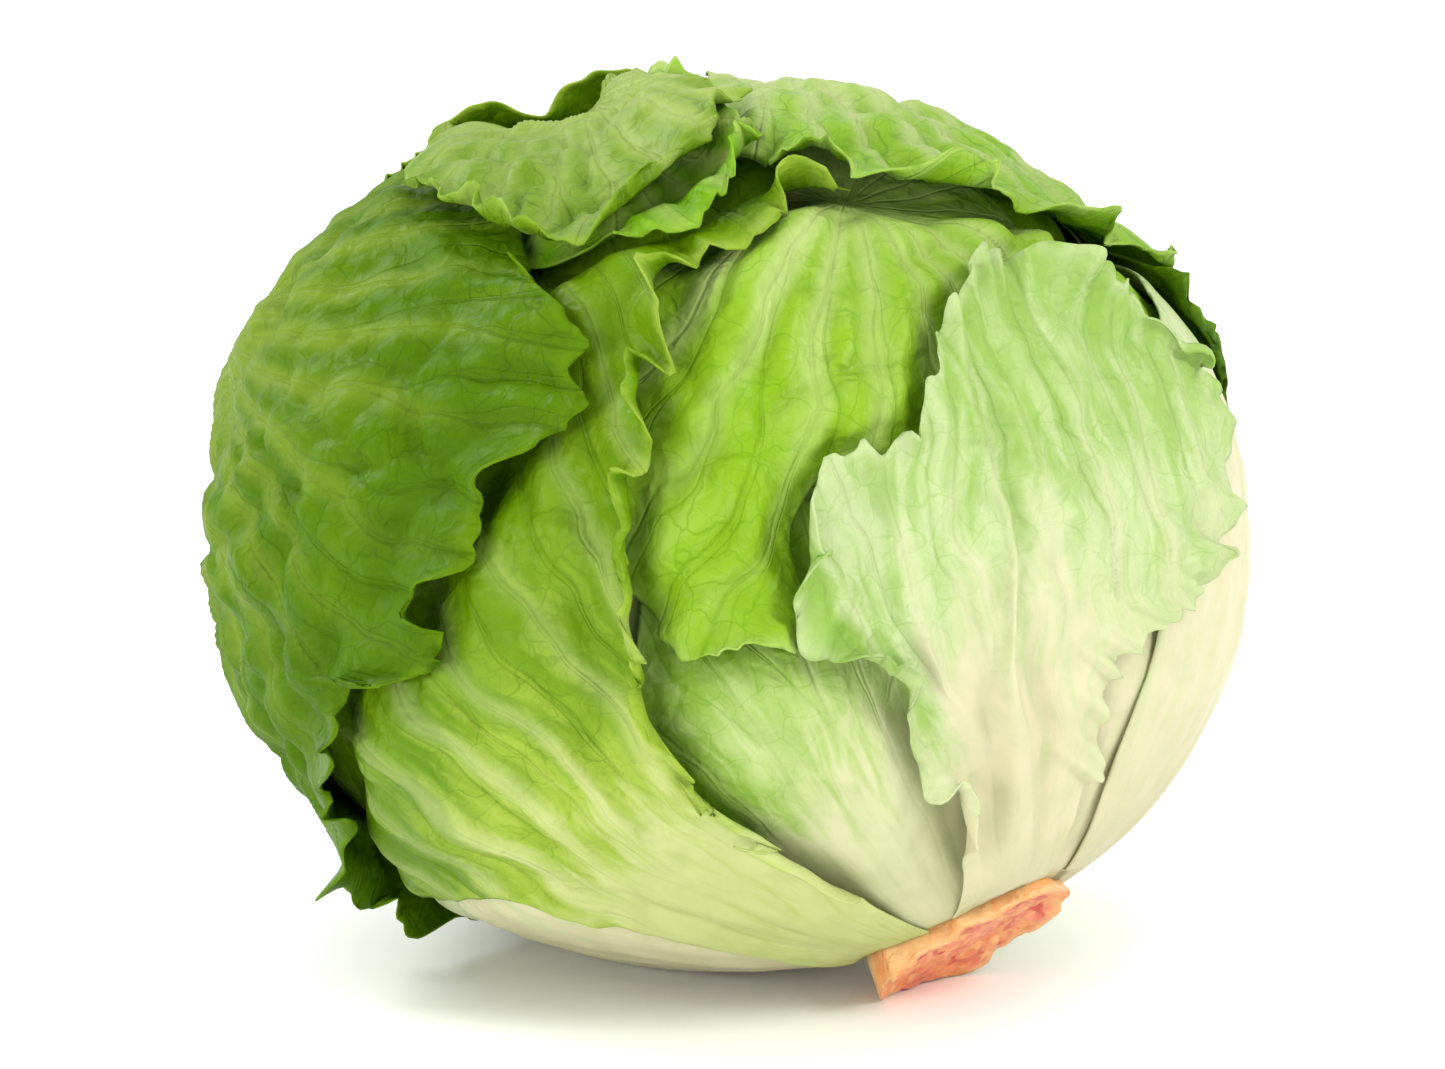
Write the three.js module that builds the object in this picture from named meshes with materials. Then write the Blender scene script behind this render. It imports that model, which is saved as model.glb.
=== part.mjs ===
// Head of iceberg lettuce lying on its side, in millimetres with +Z up.
// Every leaf is a thin closed shell draped over the leaves beneath it, from the heart outwards.
import * as THREE from "three";

// Overall size of the ball, measured over the outermost leaves.
const HEAD_WIDTH = 166;
const HEAD_DEPTH = 156;
const HEAD_HEIGHT = 142;

// The ball lies with its stem low on the front right. These three are a direction, not a size.
const STEM_DIRECTION = [0.47, -0.43, -0.77];

const STEM_REACH = 77.5;
const STEM_INNER_END = 56;
const STEM_HALF_ANGLE = 11.4;
const LEAF_BASE_CLEARANCE = 1.4;
const NECK_RISE = 4;
const NECK_ANGLE = 17;
const NECK_AT = 35;
const SHOULDER_RISE = 1.5;
const SHOULDER_ANGLE = 18;
const SHOULDER_AT = [42, 95];
const HOLLOW_DEPTH = 4;
const HOLLOW_SPREAD = 20;
const HOLLOW_AT = [26, -170];

const LEAF_THICKNESS = 1;
const LEAF_GAP = 0.6;
const STEM_GAP = 0.8;
const HEART_GAP = 0.6;
const REST_FLAT = 1.6;
const REST_PRESS = 0.45;

// Longest edges of the leaf and heart meshes, and the angular step of the maps of the leaf stack.
const LEAF_CELL = 10.8;
const HEART_CELL = 12.15;
const MAP_STEP = 2;
const DRAPE_REACH = 6;
const SETTLING_PASSES = 4;

const COLOURS = {
  pale: 0xe4efba,
  yellow_green: 0xa9cc58,
  fresh_green: 0x96c94a,
  mid_green: 0x86b552,
  deep_green: 0x5fa02c,
};

// Leaves from the innermost to the outermost. A point is [degrees from the stem, degrees around it],
// with 0 around at the front and positive angles towards the right.
// "base" is where the leaf starts; "left" and "right" are its margins, read from base to tip;
// "tip" lies between the ends of the margins. "middle" is the centre the outline is spread from.
// A lift is [along, across, height in mm, spread] and raises a ruffled part of the margin.
const LEAVES = [
  {
    name: "back_left_leaf",
    colour: "mid_green",
    middle: [75, -165],
    stemBase: [-188, -142],
    left: [[40, -205], [75, -208], [105, -205]],
    tip: [[128, -195], [132, -165], [128, -135]],
    right: [[40, -128], [70, -118], [102, -118]],
  },
  {
    name: "inner_back_leaf",
    colour: "fresh_green",
    middle: [115, 180],
    stemBase: [168, 192],
    left: [[45, 152], [80, 140], [112, 130], [138, 112]],
    tip: [[158, 60], [163, 0], [158, -60]],
    right: [[45, 208], [80, 220], [112, 230], [138, 248]],
  },
  {
    name: "inner_right_leaf",
    colour: "pale",
    middle: [60, 72],
    stemBase: [38, 106],
    left: [[38, 36], [66, 38], [92, 48]],
    tip: [[104, 60], [106, 84]],
    right: [[38, 110], [68, 108], [94, 100]],
  },
  {
    name: "under_leaf",
    colour: "pale",
    middle: [65, -112],
    stemBase: [-160, -60],
    left: [[40, -166], [75, -162], [104, -150]],
    tip: [[120, -130], [122, -100]],
    right: [[40, -56], [64, -64], [84, -70], [108, -78]],
  },
  {
    name: "hollow_crown_leaf",
    colour: "deep_green",
    middle: [85, 95],
    stemBase: [112, 138],
    left: [[40, 100], [64, 80], [76, 60]],
    tip: [[88, 40], [106, 38], [122, 50]],
    right: [[42, 146], [80, 138], [108, 108]],
  },
  {
    name: "front_centre_leaf",
    colour: "pale",
    middle: [45, 3],
    stemBase: [-24, 22],
    left: [[30, -15], [44, -18], [56, -18]],
    tip: [[66, -12], [75, -2], [74, 12]],
    right: [[34, 27], [50, 25], [64, 21]],
  },
  {
    name: "crown_front_leaf",
    colour: "fresh_green",
    middle: [92, 20],
    base: [[128, 40], [132, 22], [130, 2]],
    left: [[112, 44], [97, 45], [86, 48], [77, 41]],
    tip: [[70, 30], [73, 21], [69, 12], [60, 8]],
    right: [[112, -4], [92, -7], [76, -9], [62, -5]],
  },
  {
    name: "right_leaf",
    colour: "pale",
    middle: [58, 108],
    stemBase: [74, 150],
    left: [[28, 69], [44, 72], [62, 72], [82, 76]],
    tip: [[101, 90], [110, 114]],
    right: [[40, 152], [70, 150], [100, 140]],
  },
  {
    name: "front_right_leaf",
    colour: "pale",
    middle: [55, 42],
    stemBase: [8, 52],
    left: [[28, 17], [46, 14], [58, 9], [67, 11]],
    tip: [[73, 20], [72, 28], [84, 41], [86, 52], [80, 66]],
    right: [[30, 49], [44, 52], [50, 68], [62, 75], [74, 77]],
  },
  {
    name: "front_left_leaf",
    colour: "yellow_green",
    middle: [68, -30],
    stemBase: [-78, -5],
    left: [[25, -56], [44, -55], [58, -58], [70, -66], [84, -70]],
    tip: [[106, -62], [126, -38], [130, 4], [120, 38]],
    right: [[27, -12], [40, -16], [52, -17], [66, -9], [83, 2], [95, 10], [104, 24], [105, 42]],
  },
  {
    name: "back_right_leaf",
    colour: "mid_green",
    middle: [70, 132],
    stemBase: [122, 170],
    left: [[30, 112], [50, 98], [66, 86], [78, 80]],
    tip: [[92, 80], [108, 94], [118, 122]],
    right: [[42, 178], [80, 172], [108, 155]],
    lifts: [[0.72, 0, 2, 0.12]],
  },
  {
    name: "crown_right_leaf",
    colour: "fresh_green",
    middle: [110, 110],
    stemBase: [150, 176],
    left: [[42, 136], [68, 114], [84, 94], [88, 78]],
    tip: [[86, 64], [94, 55], [94, 46], [103, 41], [113, 36]],
    right: [[45, 186], [85, 188], [118, 184], [142, 160], [150, 108], [145, 60], [128, 32]],
  },
  {
    name: "crown_middle_leaf",
    colour: "deep_green",
    middle: [130, 8],
    base: [[148, 48], [160, 0], [148, -50]],
    left: [[136, 42], [122, 36]],
    tip: [[112, 32], [107, 23], [108, 14], [113, 5]],
    right: [[134, -36], [120, -12]],
  },
  {
    name: "left_wrapper_leaf",
    colour: "mid_green",
    middle: [96, -75],
    stemBase: [-184, -156],
    left: [[42, -184], [78, -186], [112, -176], [136, -140], [148, -90]],
    tip: [[150, -55], [142, -22]],
    right: [
      [30, -157], [46, -151], [60, -126], [68, -98], [74, -76], [78, -58], [85, -46], [80, -34],
      [88, -20], [92, -7], [100, -1], [112, -4], [126, -8],
    ],
    lifts: [[0.5, 1, 9, 0.1]],
  },
  {
    name: "crown_left_leaf",
    colour: "mid_green",
    middle: [142, -10],
    base: [[166, 140], [168, -150], [148, -112]],
    left: [[166, 60], [150, 42], [138, 39]],
    tip: [[125, 37], [118, 28]],
    right: [[140, -62], [132, -22], [122, -3], [113, 3], [112, 11], [117, 19]],
  },
  {
    name: "outer_back_leaf",
    colour: "mid_green",
    middle: [105, 185],
    stemBase: [158, 205],
    left: [[42, 152], [80, 142], [112, 138], [138, 118]],
    tip: [[156, 78], [162, 20], [160, -40], [152, -85]],
    right: [[28, 202], [44, 198], [62, 204], [84, 222], [112, 236], [140, 250]],
  },
];

const DEG = Math.PI / 180;
const HALF_SIZES = [HEAD_WIDTH / 2, HEAD_DEPTH / 2, HEAD_HEIGHT / 2];
const MEAN_RADIUS = (HEAD_WIDTH + HEAD_DEPTH + HEAD_HEIGHT) / 6;
const LEAF_STEP = LEAF_CELL / MEAN_RADIUS / DEG;
const HEART_STEP = HEART_CELL / MEAN_RADIUS / DEG;

// The leaves start just clear of the cone of the stem.
const LEAF_BASE_ANGLE = STEM_HALF_ANGLE + LEAF_BASE_CLEARANCE;

// Axes of the head: the stem direction, the front meridian and the direction of positive angles.
const stemAxis = new THREE.Vector3(...STEM_DIRECTION).normalize();
const frontAxis = new THREE.Vector3(0, -1, 0).addScaledVector(stemAxis, stemAxis.y).normalize();
const sideAxis = new THREE.Vector3().crossVectors(frontAxis, stemAxis);

// Unit direction from the ball's centre for an angle from the stem and an angle around it.
function direction([fromStem, around]) {
  const a = fromStem * DEG;
  const b = around * DEG;
  return new THREE.Vector3()
    .addScaledVector(stemAxis, Math.cos(a))
    .addScaledVector(frontAxis, Math.sin(a) * Math.cos(b))
    .addScaledVector(sideAxis, Math.sin(a) * Math.sin(b));
}

// The reverse of direction().
function anglesOf(unit) {
  const fromStem = Math.acos(THREE.MathUtils.clamp(unit.dot(stemAxis), -1, 1)) / DEG;
  const around = Math.atan2(unit.dot(sideAxis), unit.dot(frontAxis)) / DEG;
  return [fromStem, around];
}

function bell(x, width) {
  return Math.exp(-((x / width) ** 2));
}

// Radius of the finished head: an ellipsoid that swells towards the neck and over the right shoulder,
// sinks in under the stem and is level underneath where the head rests.
function headRadius([fromStem, around]) {
  const unit = direction([fromStem, around]);
  const [a, b, c] = HALF_SIZES;
  const ball = 1 / Math.hypot(unit.x / a, unit.y / b, unit.z / c);
  const above = (1 + Math.cos((around - NECK_AT) * DEG)) / 2;
  const neck = NECK_RISE * bell(fromStem - LEAF_BASE_ANGLE, NECK_ANGLE) * above;
  const turn = Math.max(0, Math.cos((around - SHOULDER_AT[1]) * DEG));
  const shoulder = SHOULDER_RISE * bell(fromStem - SHOULDER_AT[0], SHOULDER_ANGLE) * turn ** 2;
  const inHollow = unit.angleTo(direction(HOLLOW_AT)) / DEG;
  const hollow = HOLLOW_DEPTH * bell(inHollow, HOLLOW_SPREAD);
  const level = HALF_SIZES[2] - REST_FLAT;
  const rest = unit.z < -0.5 ? level / -unit.z : Infinity;
  return Math.min(ball + neck + shoulder - hollow, rest);
}

// A map holds one number for each small step from the stem and around it.
const MAP_ROWS = 180 / MAP_STEP + 1;
const MAP_COLUMNS = 360 / MAP_STEP;

function makeMap(valueAt) {
  return Array.from({ length: MAP_ROWS }, (_, row) =>
    Array.from({ length: MAP_COLUMNS }, (_, column) => valueAt(row * MAP_STEP, column * MAP_STEP)),
  );
}

function wrap(column) {
  return ((column % MAP_COLUMNS) + MAP_COLUMNS) % MAP_COLUMNS;
}

function readMap(map, [fromStem, around]) {
  const y = THREE.MathUtils.clamp(fromStem / MAP_STEP, 0, MAP_ROWS - 1.001);
  const x = around / MAP_STEP;
  const row = Math.floor(y);
  const column = Math.floor(x);
  const top = THREE.MathUtils.lerp(map[row][wrap(column)], map[row][wrap(column + 1)], x - column);
  const low = THREE.MathUtils.lerp(
    map[row + 1][wrap(column)],
    map[row + 1][wrap(column + 1)],
    x - column,
  );
  return THREE.MathUtils.lerp(top, low, y - row);
}

// Combines each cell with its neighbours, first along the meridians and then around them.
function filterMap(map, reach, combine) {
  const steps = Math.round(reach / MAP_STEP);
  const along = map.map((line, row) =>
    line.map((_, column) => {
      const values = [];
      for (let k = -steps; k <= steps; k += 1) {
        const other = THREE.MathUtils.clamp(row + k, 0, MAP_ROWS - 1);
        values.push(map[other][column]);
      }
      return combine(values);
    }),
  );
  return along.map((line, row) => {
    const narrowing = Math.max(Math.sin(row * MAP_STEP * DEG), 0.02);
    const wide = Math.min(Math.ceil(steps / narrowing), MAP_COLUMNS / 2);
    return line.map((_, column) => {
      const values = [];
      for (let k = -wide; k <= wide; k += 1) {
        values.push(line[wrap(column + k)]);
      }
      return combine(values);
    });
  });
}

function largest(values) {
  return values.reduce((a, b) => Math.max(a, b), -Infinity);
}

function average(values) {
  return values.reduce((a, b) => a + b, 0) / values.length;
}

// A smooth surface that lies on or above every point of the map.
function smoothCover(map) {
  return filterMap(filterMap(map, DRAPE_REACH, largest), DRAPE_REACH, average);
}

// Flat chart around a leaf's middle, in degrees: x runs away from the stem and y towards the right.
function makeChart(middle) {
  const centre = direction(middle);
  const away = direction([middle[0] + 90, middle[1]]);
  const across = new THREE.Vector3().crossVectors(away, centre);
  return {
    flatten(point) {
      const unit = direction(point);
      const angle = Math.acos(THREE.MathUtils.clamp(unit.dot(centre), -1, 1)) / DEG;
      const flat = new THREE.Vector2(unit.dot(away), unit.dot(across));
      return flat.length() > 1e-9 ? flat.setLength(angle) : flat;
    },
    unflatten(flat) {
      const angle = flat.length();
      const unit = centre.clone().multiplyScalar(Math.cos(angle * DEG));
      const push = angle > 1e-9 ? Math.sin(angle * DEG) / angle : 0;
      unit.addScaledVector(away, flat.x * push).addScaledVector(across, flat.y * push);
      return anglesOf(unit);
    },
  };
}

// Points at even spacing along a smooth curve through the given chart points.
function smoothLine(points, pieces) {
  const curve = new THREE.SplineCurve(points);
  return curve.getSpacedPoints(pieces);
}

function stemArc([start, end], pieces) {
  return Array.from({ length: pieces + 1 }, (_, i) => [
    LEAF_BASE_ANGLE,
    THREE.MathUtils.lerp(start, end, i / pieces),
  ]);
}

function lineLength(points) {
  return points.slice(1).reduce((sum, p, i) => sum + p.distanceTo(points[i]), 0);
}

// Spreads a grid of [degrees from the stem, degrees around] between the four sides of a leaf.
function leafGrid(leaf, step) {
  const chart = makeChart(leaf.middle);
  const base = (leaf.base ?? stemArc(leaf.stemBase, 6)).map(chart.flatten);
  const left = [base[0], ...leaf.left.map(chart.flatten)];
  const right = [base.at(-1), ...leaf.right.map(chart.flatten)];
  const tip = [left.at(-1), ...leaf.tip.map(chart.flatten), right.at(-1)];
  const along = Math.max(6, Math.round((lineLength(left) + lineLength(right)) / 2 / step));
  const widths = [0.25, 0.5, 0.75].map((u) => midWidth(left, right, u));
  const across = Math.max(6, Math.round(largest([lineLength(tip), ...widths]) / step));
  const sides = {
    base: smoothLine(base, across),
    tip: smoothLine(tip, across),
    left: smoothLine(left, along),
    right: smoothLine(right, along),
  };
  const rows = [];
  for (let i = 0; i <= along; i += 1) {
    const row = [];
    for (let j = 0; j <= across; j += 1) {
      const flat = blendSides(sides, i / along, j / across, i, j);
      const [fromStem, around] = chart.unflatten(flat);
      row.push([Math.max(fromStem, LEAF_BASE_ANGLE), around]);
    }
    rows.push(row);
  }
  return rows;
}

// Distance between the two margins at one fraction of their length.
function midWidth(left, right, u) {
  return new THREE.SplineCurve(left).getPointAt(u).distanceTo(new THREE.SplineCurve(right).getPointAt(u));
}

// One point inside a patch bounded by four curves.
function blendSides({ base, tip, left, right }, u, v, i, j) {
  const point = new THREE.Vector2();
  point.addScaledVector(left[i], 1 - v).addScaledVector(right[i], v);
  point.addScaledVector(base[j], 1 - u).addScaledVector(tip[j], u);
  point.addScaledVector(left[0], -(1 - u) * (1 - v)).addScaledVector(right[0], -(1 - u) * v);
  point.addScaledVector(left.at(-1), -u * (1 - v)).addScaledVector(right.at(-1), -u * v);
  return point;
}

// Calls visit(row, column, u, v) for every map cell a leaf covers. Cells narrow towards the two
// ends of the stem axis, so each grid point there reaches several of them.
function forCoveredCells(leaf, visit) {
  const grid = leafGrid(leaf, MAP_STEP / 2);
  grid.forEach((row, i) =>
    row.forEach(([fromStem, around], j) => {
      const u = i / (grid.length - 1);
      const v = j / (row.length - 1);
      const column = Math.round(around / MAP_STEP);
      const reach = Math.min(Math.round(0.5 / Math.sin(fromStem * DEG)), MAP_COLUMNS / 2);
      for (let k = -reach; k <= reach; k += 1) {
        visit(Math.round(fromStem / MAP_STEP), wrap(column + k), u, v);
      }
    }),
  );
}

// Height of the ruffles of a leaf at one place of its grid.
function liftAt(leaf, u, v) {
  return (leaf.lifts ?? []).reduce(
    (height, [along, across, rise, spread]) =>
      Math.max(height, rise * bell(Math.hypot(u - along, v - across), spread)),
    0,
  );
}

function quad(index, a, b, c, d) {
  index.push(a, b, c, a, c, d);
}

function makeGeometry(positions, index) {
  const geometry = new THREE.BufferGeometry();
  geometry.setAttribute("position", new THREE.Float32BufferAttribute(positions, 3));
  geometry.setIndex(index);
  geometry.computeVertexNormals();
  return geometry;
}

function makeMesh(name, geometry, colour, roughness) {
  const material = new THREE.MeshStandardMaterial({ color: colour, roughness, metalness: 0 });
  const mesh = new THREE.Mesh(geometry, material);
  mesh.name = name;
  return mesh;
}

// Closed shell between two grids of points that share their layout.
function shellGeometry(outer, inner) {
  const rows = outer.length;
  const columns = outer[0].length;
  const positions = [outer, inner].flat(2).flatMap((p) => [p.x, p.y, p.z]);
  const at = (side, i, j) => side * rows * columns + i * columns + j;
  const index = [];
  for (let i = 0; i + 1 < rows; i += 1) {
    for (let j = 0; j + 1 < columns; j += 1) {
      quad(index, at(0, i, j), at(0, i, j + 1), at(0, i + 1, j + 1), at(0, i + 1, j));
      quad(index, at(1, i, j), at(1, i + 1, j), at(1, i + 1, j + 1), at(1, i, j + 1));
    }
  }
  for (let j = 0; j + 1 < columns; j += 1) {
    quad(index, at(0, 0, j), at(1, 0, j), at(1, 0, j + 1), at(0, 0, j + 1));
    quad(index, at(0, rows - 1, j + 1), at(1, rows - 1, j + 1), at(1, rows - 1, j), at(0, rows - 1, j));
  }
  for (let i = 0; i + 1 < rows; i += 1) {
    quad(index, at(0, i + 1, 0), at(1, i + 1, 0), at(1, i, 0), at(0, i, 0));
    quad(index, at(0, i, columns - 1), at(1, i, columns - 1), at(1, i + 1, columns - 1), at(0, i + 1, columns - 1));
  }
  return makeGeometry(positions, index);
}

// Adds one leaf to the stack map, which holds heights over the finished head's radius.
function layLeaf(leaf, stack, cover) {
  forCoveredCells(leaf, (row, column, u, v) => {
    const raised = cover[row][column] + LEAF_GAP + LEAF_THICKNESS + liftAt(leaf, u, v);
    stack[row][column] = Math.max(stack[row][column], raised);
  });
}

// Room each part of the ball must leave for its leaves, so that the outermost ones end up on the
// finished head's radius. Found by laying the whole stack a few times and taking off the excess.
function roomForLeaves() {
  const room = makeMap(() => 0);
  for (let pass = 0; pass < SETTLING_PASSES; pass += 1) {
    const stack = room.map((line) => line.map((depth) => -depth));
    for (const leaf of LEAVES) {
      layLeaf({ ...leaf, lifts: [] }, stack, smoothCover(stack));
    }
    filterMap(stack, DRAPE_REACH, average).forEach((line, row) =>
      line.forEach((excess, column) => {
        room[row][column] += excess;
      }),
    );
  }
  return room;
}

// One leaf laid over the stack so far.
function makeLeaf(leaf, stack) {
  const cover = smoothCover(stack);
  const innerRadius = (point, u, v) =>
    headRadius(point) + readMap(cover, point) + LEAF_GAP + liftAt(leaf, u, v);
  const outerRadius = (point, u, v) => innerRadius(point, u, v) + LEAF_THICKNESS;
  const grid = leafGrid(leaf, LEAF_STEP);
  const place = (radius) =>
    grid.map((row, i) =>
      row.map((point, j) =>
        direction(point).multiplyScalar(radius(point, i / (grid.length - 1), j / (row.length - 1))),
      ),
    );
  const geometry = shellGeometry(place(outerRadius), place(innerRadius));
  layLeaf(leaf, stack, cover);
  return makeMesh(leaf.name, geometry, COLOURS[leaf.colour], 0.5);
}

// The tight ball inside the leaves, with a socket for the stem.
function makeHeart(stack) {
  const socketWall = STEM_HALF_ANGLE + (STEM_GAP / STEM_INNER_END) / DEG;
  const rings = [[socketWall, STEM_INNER_END - STEM_GAP], [socketWall + 0.4, null]];
  const ringCount = Math.round((180 - LEAF_BASE_ANGLE) / HEART_STEP);
  for (let i = 1; i < ringCount; i += 1) {
    rings.push([THREE.MathUtils.lerp(socketWall, 180, i / ringCount), null]);
  }
  const columns = Math.round(360 / HEART_STEP);
  const positions = [];
  for (const [fromStem, fixed] of rings) {
    for (let j = 0; j < columns; j += 1) {
      const point = [fromStem, (j * 360) / columns];
      const radius = fixed ?? headRadius(point) + readMap(stack, point) - HEART_GAP;
      positions.push(...direction(point).multiplyScalar(radius).toArray());
    }
  }
  const floor = positions.length / 3;
  positions.push(...direction([0, 0]).multiplyScalar(STEM_INNER_END - STEM_GAP).toArray());
  const far = [180, 0];
  const farRadius = headRadius(far) + readMap(stack, far) - HEART_GAP;
  positions.push(...direction(far).multiplyScalar(farRadius).toArray());
  const index = [];
  const last = (rings.length - 1) * columns;
  for (let j = 0; j < columns; j += 1) {
    const next = (j + 1) % columns;
    for (let i = 0; i + 1 < rings.length; i += 1) {
      quad(index, i * columns + j, i * columns + next, (i + 1) * columns + next, (i + 1) * columns + j);
    }
    index.push(floor, next, j);
    index.push(floor + 1, last + j, last + next);
  }
  return makeMesh("heart", makeGeometry(positions, index), COLOURS.fresh_green, 0.5);
}

// The cut butt of the stem: a cone frustum along the stem axis with a slightly bevelled, domed cut.
function makeStem() {
  const spread = Math.tan(STEM_HALF_ANGLE * DEG);
  const bevel = 1.2;
  const profile = [
    [0, STEM_INNER_END],
    [STEM_INNER_END * spread, STEM_INNER_END],
    [(STEM_REACH - bevel) * spread, STEM_REACH - bevel],
    [STEM_REACH * spread - bevel, STEM_REACH - 0.3],
    [0, STEM_REACH],
  ].map(([x, y]) => new THREE.Vector2(x, y));
  const geometry = new THREE.LatheGeometry(profile, 36);
  const turn = new THREE.Quaternion().setFromUnitVectors(new THREE.Vector3(0, 1, 0), stemAxis);
  geometry.applyQuaternion(turn);
  return makeMesh("stem", geometry, 0xd98a5c, 0.6);
}

// Flattens the lowest spot of the leaves, where the head rests.
function pressFlat(head) {
  const level = new THREE.Box3().setFromObject(head, true).min.z + REST_PRESS;
  for (const mesh of head.children) {
    const position = mesh.geometry.getAttribute("position");
    for (let i = 0; i < position.count; i += 1) {
      position.setZ(i, Math.max(position.getZ(i), level));
    }
  }
}

// All pieces, with the head standing on z = 0 and centred over the origin.
function makeHead() {
  const room = roomForLeaves();
  const stack = makeMap((fromStem, around) => {
    const beside = [Math.max(fromStem, LEAF_BASE_ANGLE), around];
    return -readMap(room, beside) - LEAF_GAP;
  });
  const head = new THREE.Group();
  head.name = "head_of_lettuce";
  head.add(makeStem(), makeHeart(stack));
  for (const leaf of LEAVES) {
    head.add(makeLeaf(leaf, stack));
  }
  pressFlat(head);
  const box = new THREE.Box3().setFromObject(head, true);
  const middle = box.getCenter(new THREE.Vector3());
  for (const mesh of head.children) {
    mesh.geometry.translate(-middle.x, -middle.y, -box.min.z);
  }
  return head;
}

export default makeHead();
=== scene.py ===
"""Looks of a head of iceberg lettuce: every leaf is laid over the ones beneath it, from the heart out."""

import math

import bpy
import numpy as np
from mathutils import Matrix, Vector


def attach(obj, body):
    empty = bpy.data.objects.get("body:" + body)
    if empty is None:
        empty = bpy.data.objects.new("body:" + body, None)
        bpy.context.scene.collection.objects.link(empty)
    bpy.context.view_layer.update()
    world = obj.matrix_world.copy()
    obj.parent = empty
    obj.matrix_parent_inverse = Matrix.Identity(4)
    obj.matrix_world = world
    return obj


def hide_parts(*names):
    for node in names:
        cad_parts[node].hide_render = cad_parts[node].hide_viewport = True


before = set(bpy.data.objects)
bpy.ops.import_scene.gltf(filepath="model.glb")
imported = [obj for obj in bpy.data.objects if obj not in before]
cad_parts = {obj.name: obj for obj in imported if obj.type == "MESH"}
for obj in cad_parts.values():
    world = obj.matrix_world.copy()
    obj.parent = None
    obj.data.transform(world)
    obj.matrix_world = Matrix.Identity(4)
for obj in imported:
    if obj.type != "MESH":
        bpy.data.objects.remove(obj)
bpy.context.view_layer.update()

# Everything below is worked out in millimetres around the ball's centre and scaled to metres at the end.
MM = 0.001
STEM_DIRECTION = (0.47, -0.43, -0.77)
STEM_REACH = 77.5
STEM_HALF_ANGLE = 11.4
LEAF_BASE_ANGLE = 12.6
HALF_SIZES = (83.0, 78.0, 71.0)
BALL_RADIUS = 77.0
NECK_RISE, NECK_ANGLE, NECK_AT = 4.0, 17.0, 35.0
SHOULDER_RISE, SHOULDER_ANGLE, SHOULDER_AT = 1.5, 18.0, (42.0, 95.0)
HOLLOW_DEPTH, HOLLOW_SPREAD, HOLLOW_AT = 4.0, 20.0, (26.0, -170.0)
REST_FLAT = 1.6
STEM_START, STEM_END = 57.0, STEM_REACH + 1.6
STEM_CLEARANCE, STEM_LIP = 0.15, 0.4
STEM_WIDER_RIGHT, STEM_NARROWER_LEFT = 1.2, 0.95

LEAF_THICKNESS = 0.55
LEAF_GAP = 0.12
TABLE_CLEARANCE = 0.25
RIM_WIDTH = 6.0
DRAPE_REACH = 2.5
SETTLING_PASSES = 4
# Piles of leaves higher than this are held to the room above it.
HUG_START, HUG_ROOM = -1.2, 3.4
# Grid steps in degrees.
STEP, QUICK_STEP = 0.85, 1.3
# Cushions in the vein net, and the share of light that passes through a blade.
CUSHION_HEIGHT = 0.6
LIGHT_THROUGH = 0.22
# Veins fork where they are this far apart, in millimetres.
FORK_STARTS, FORK_ENDS = 6.0, 15.0

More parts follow.
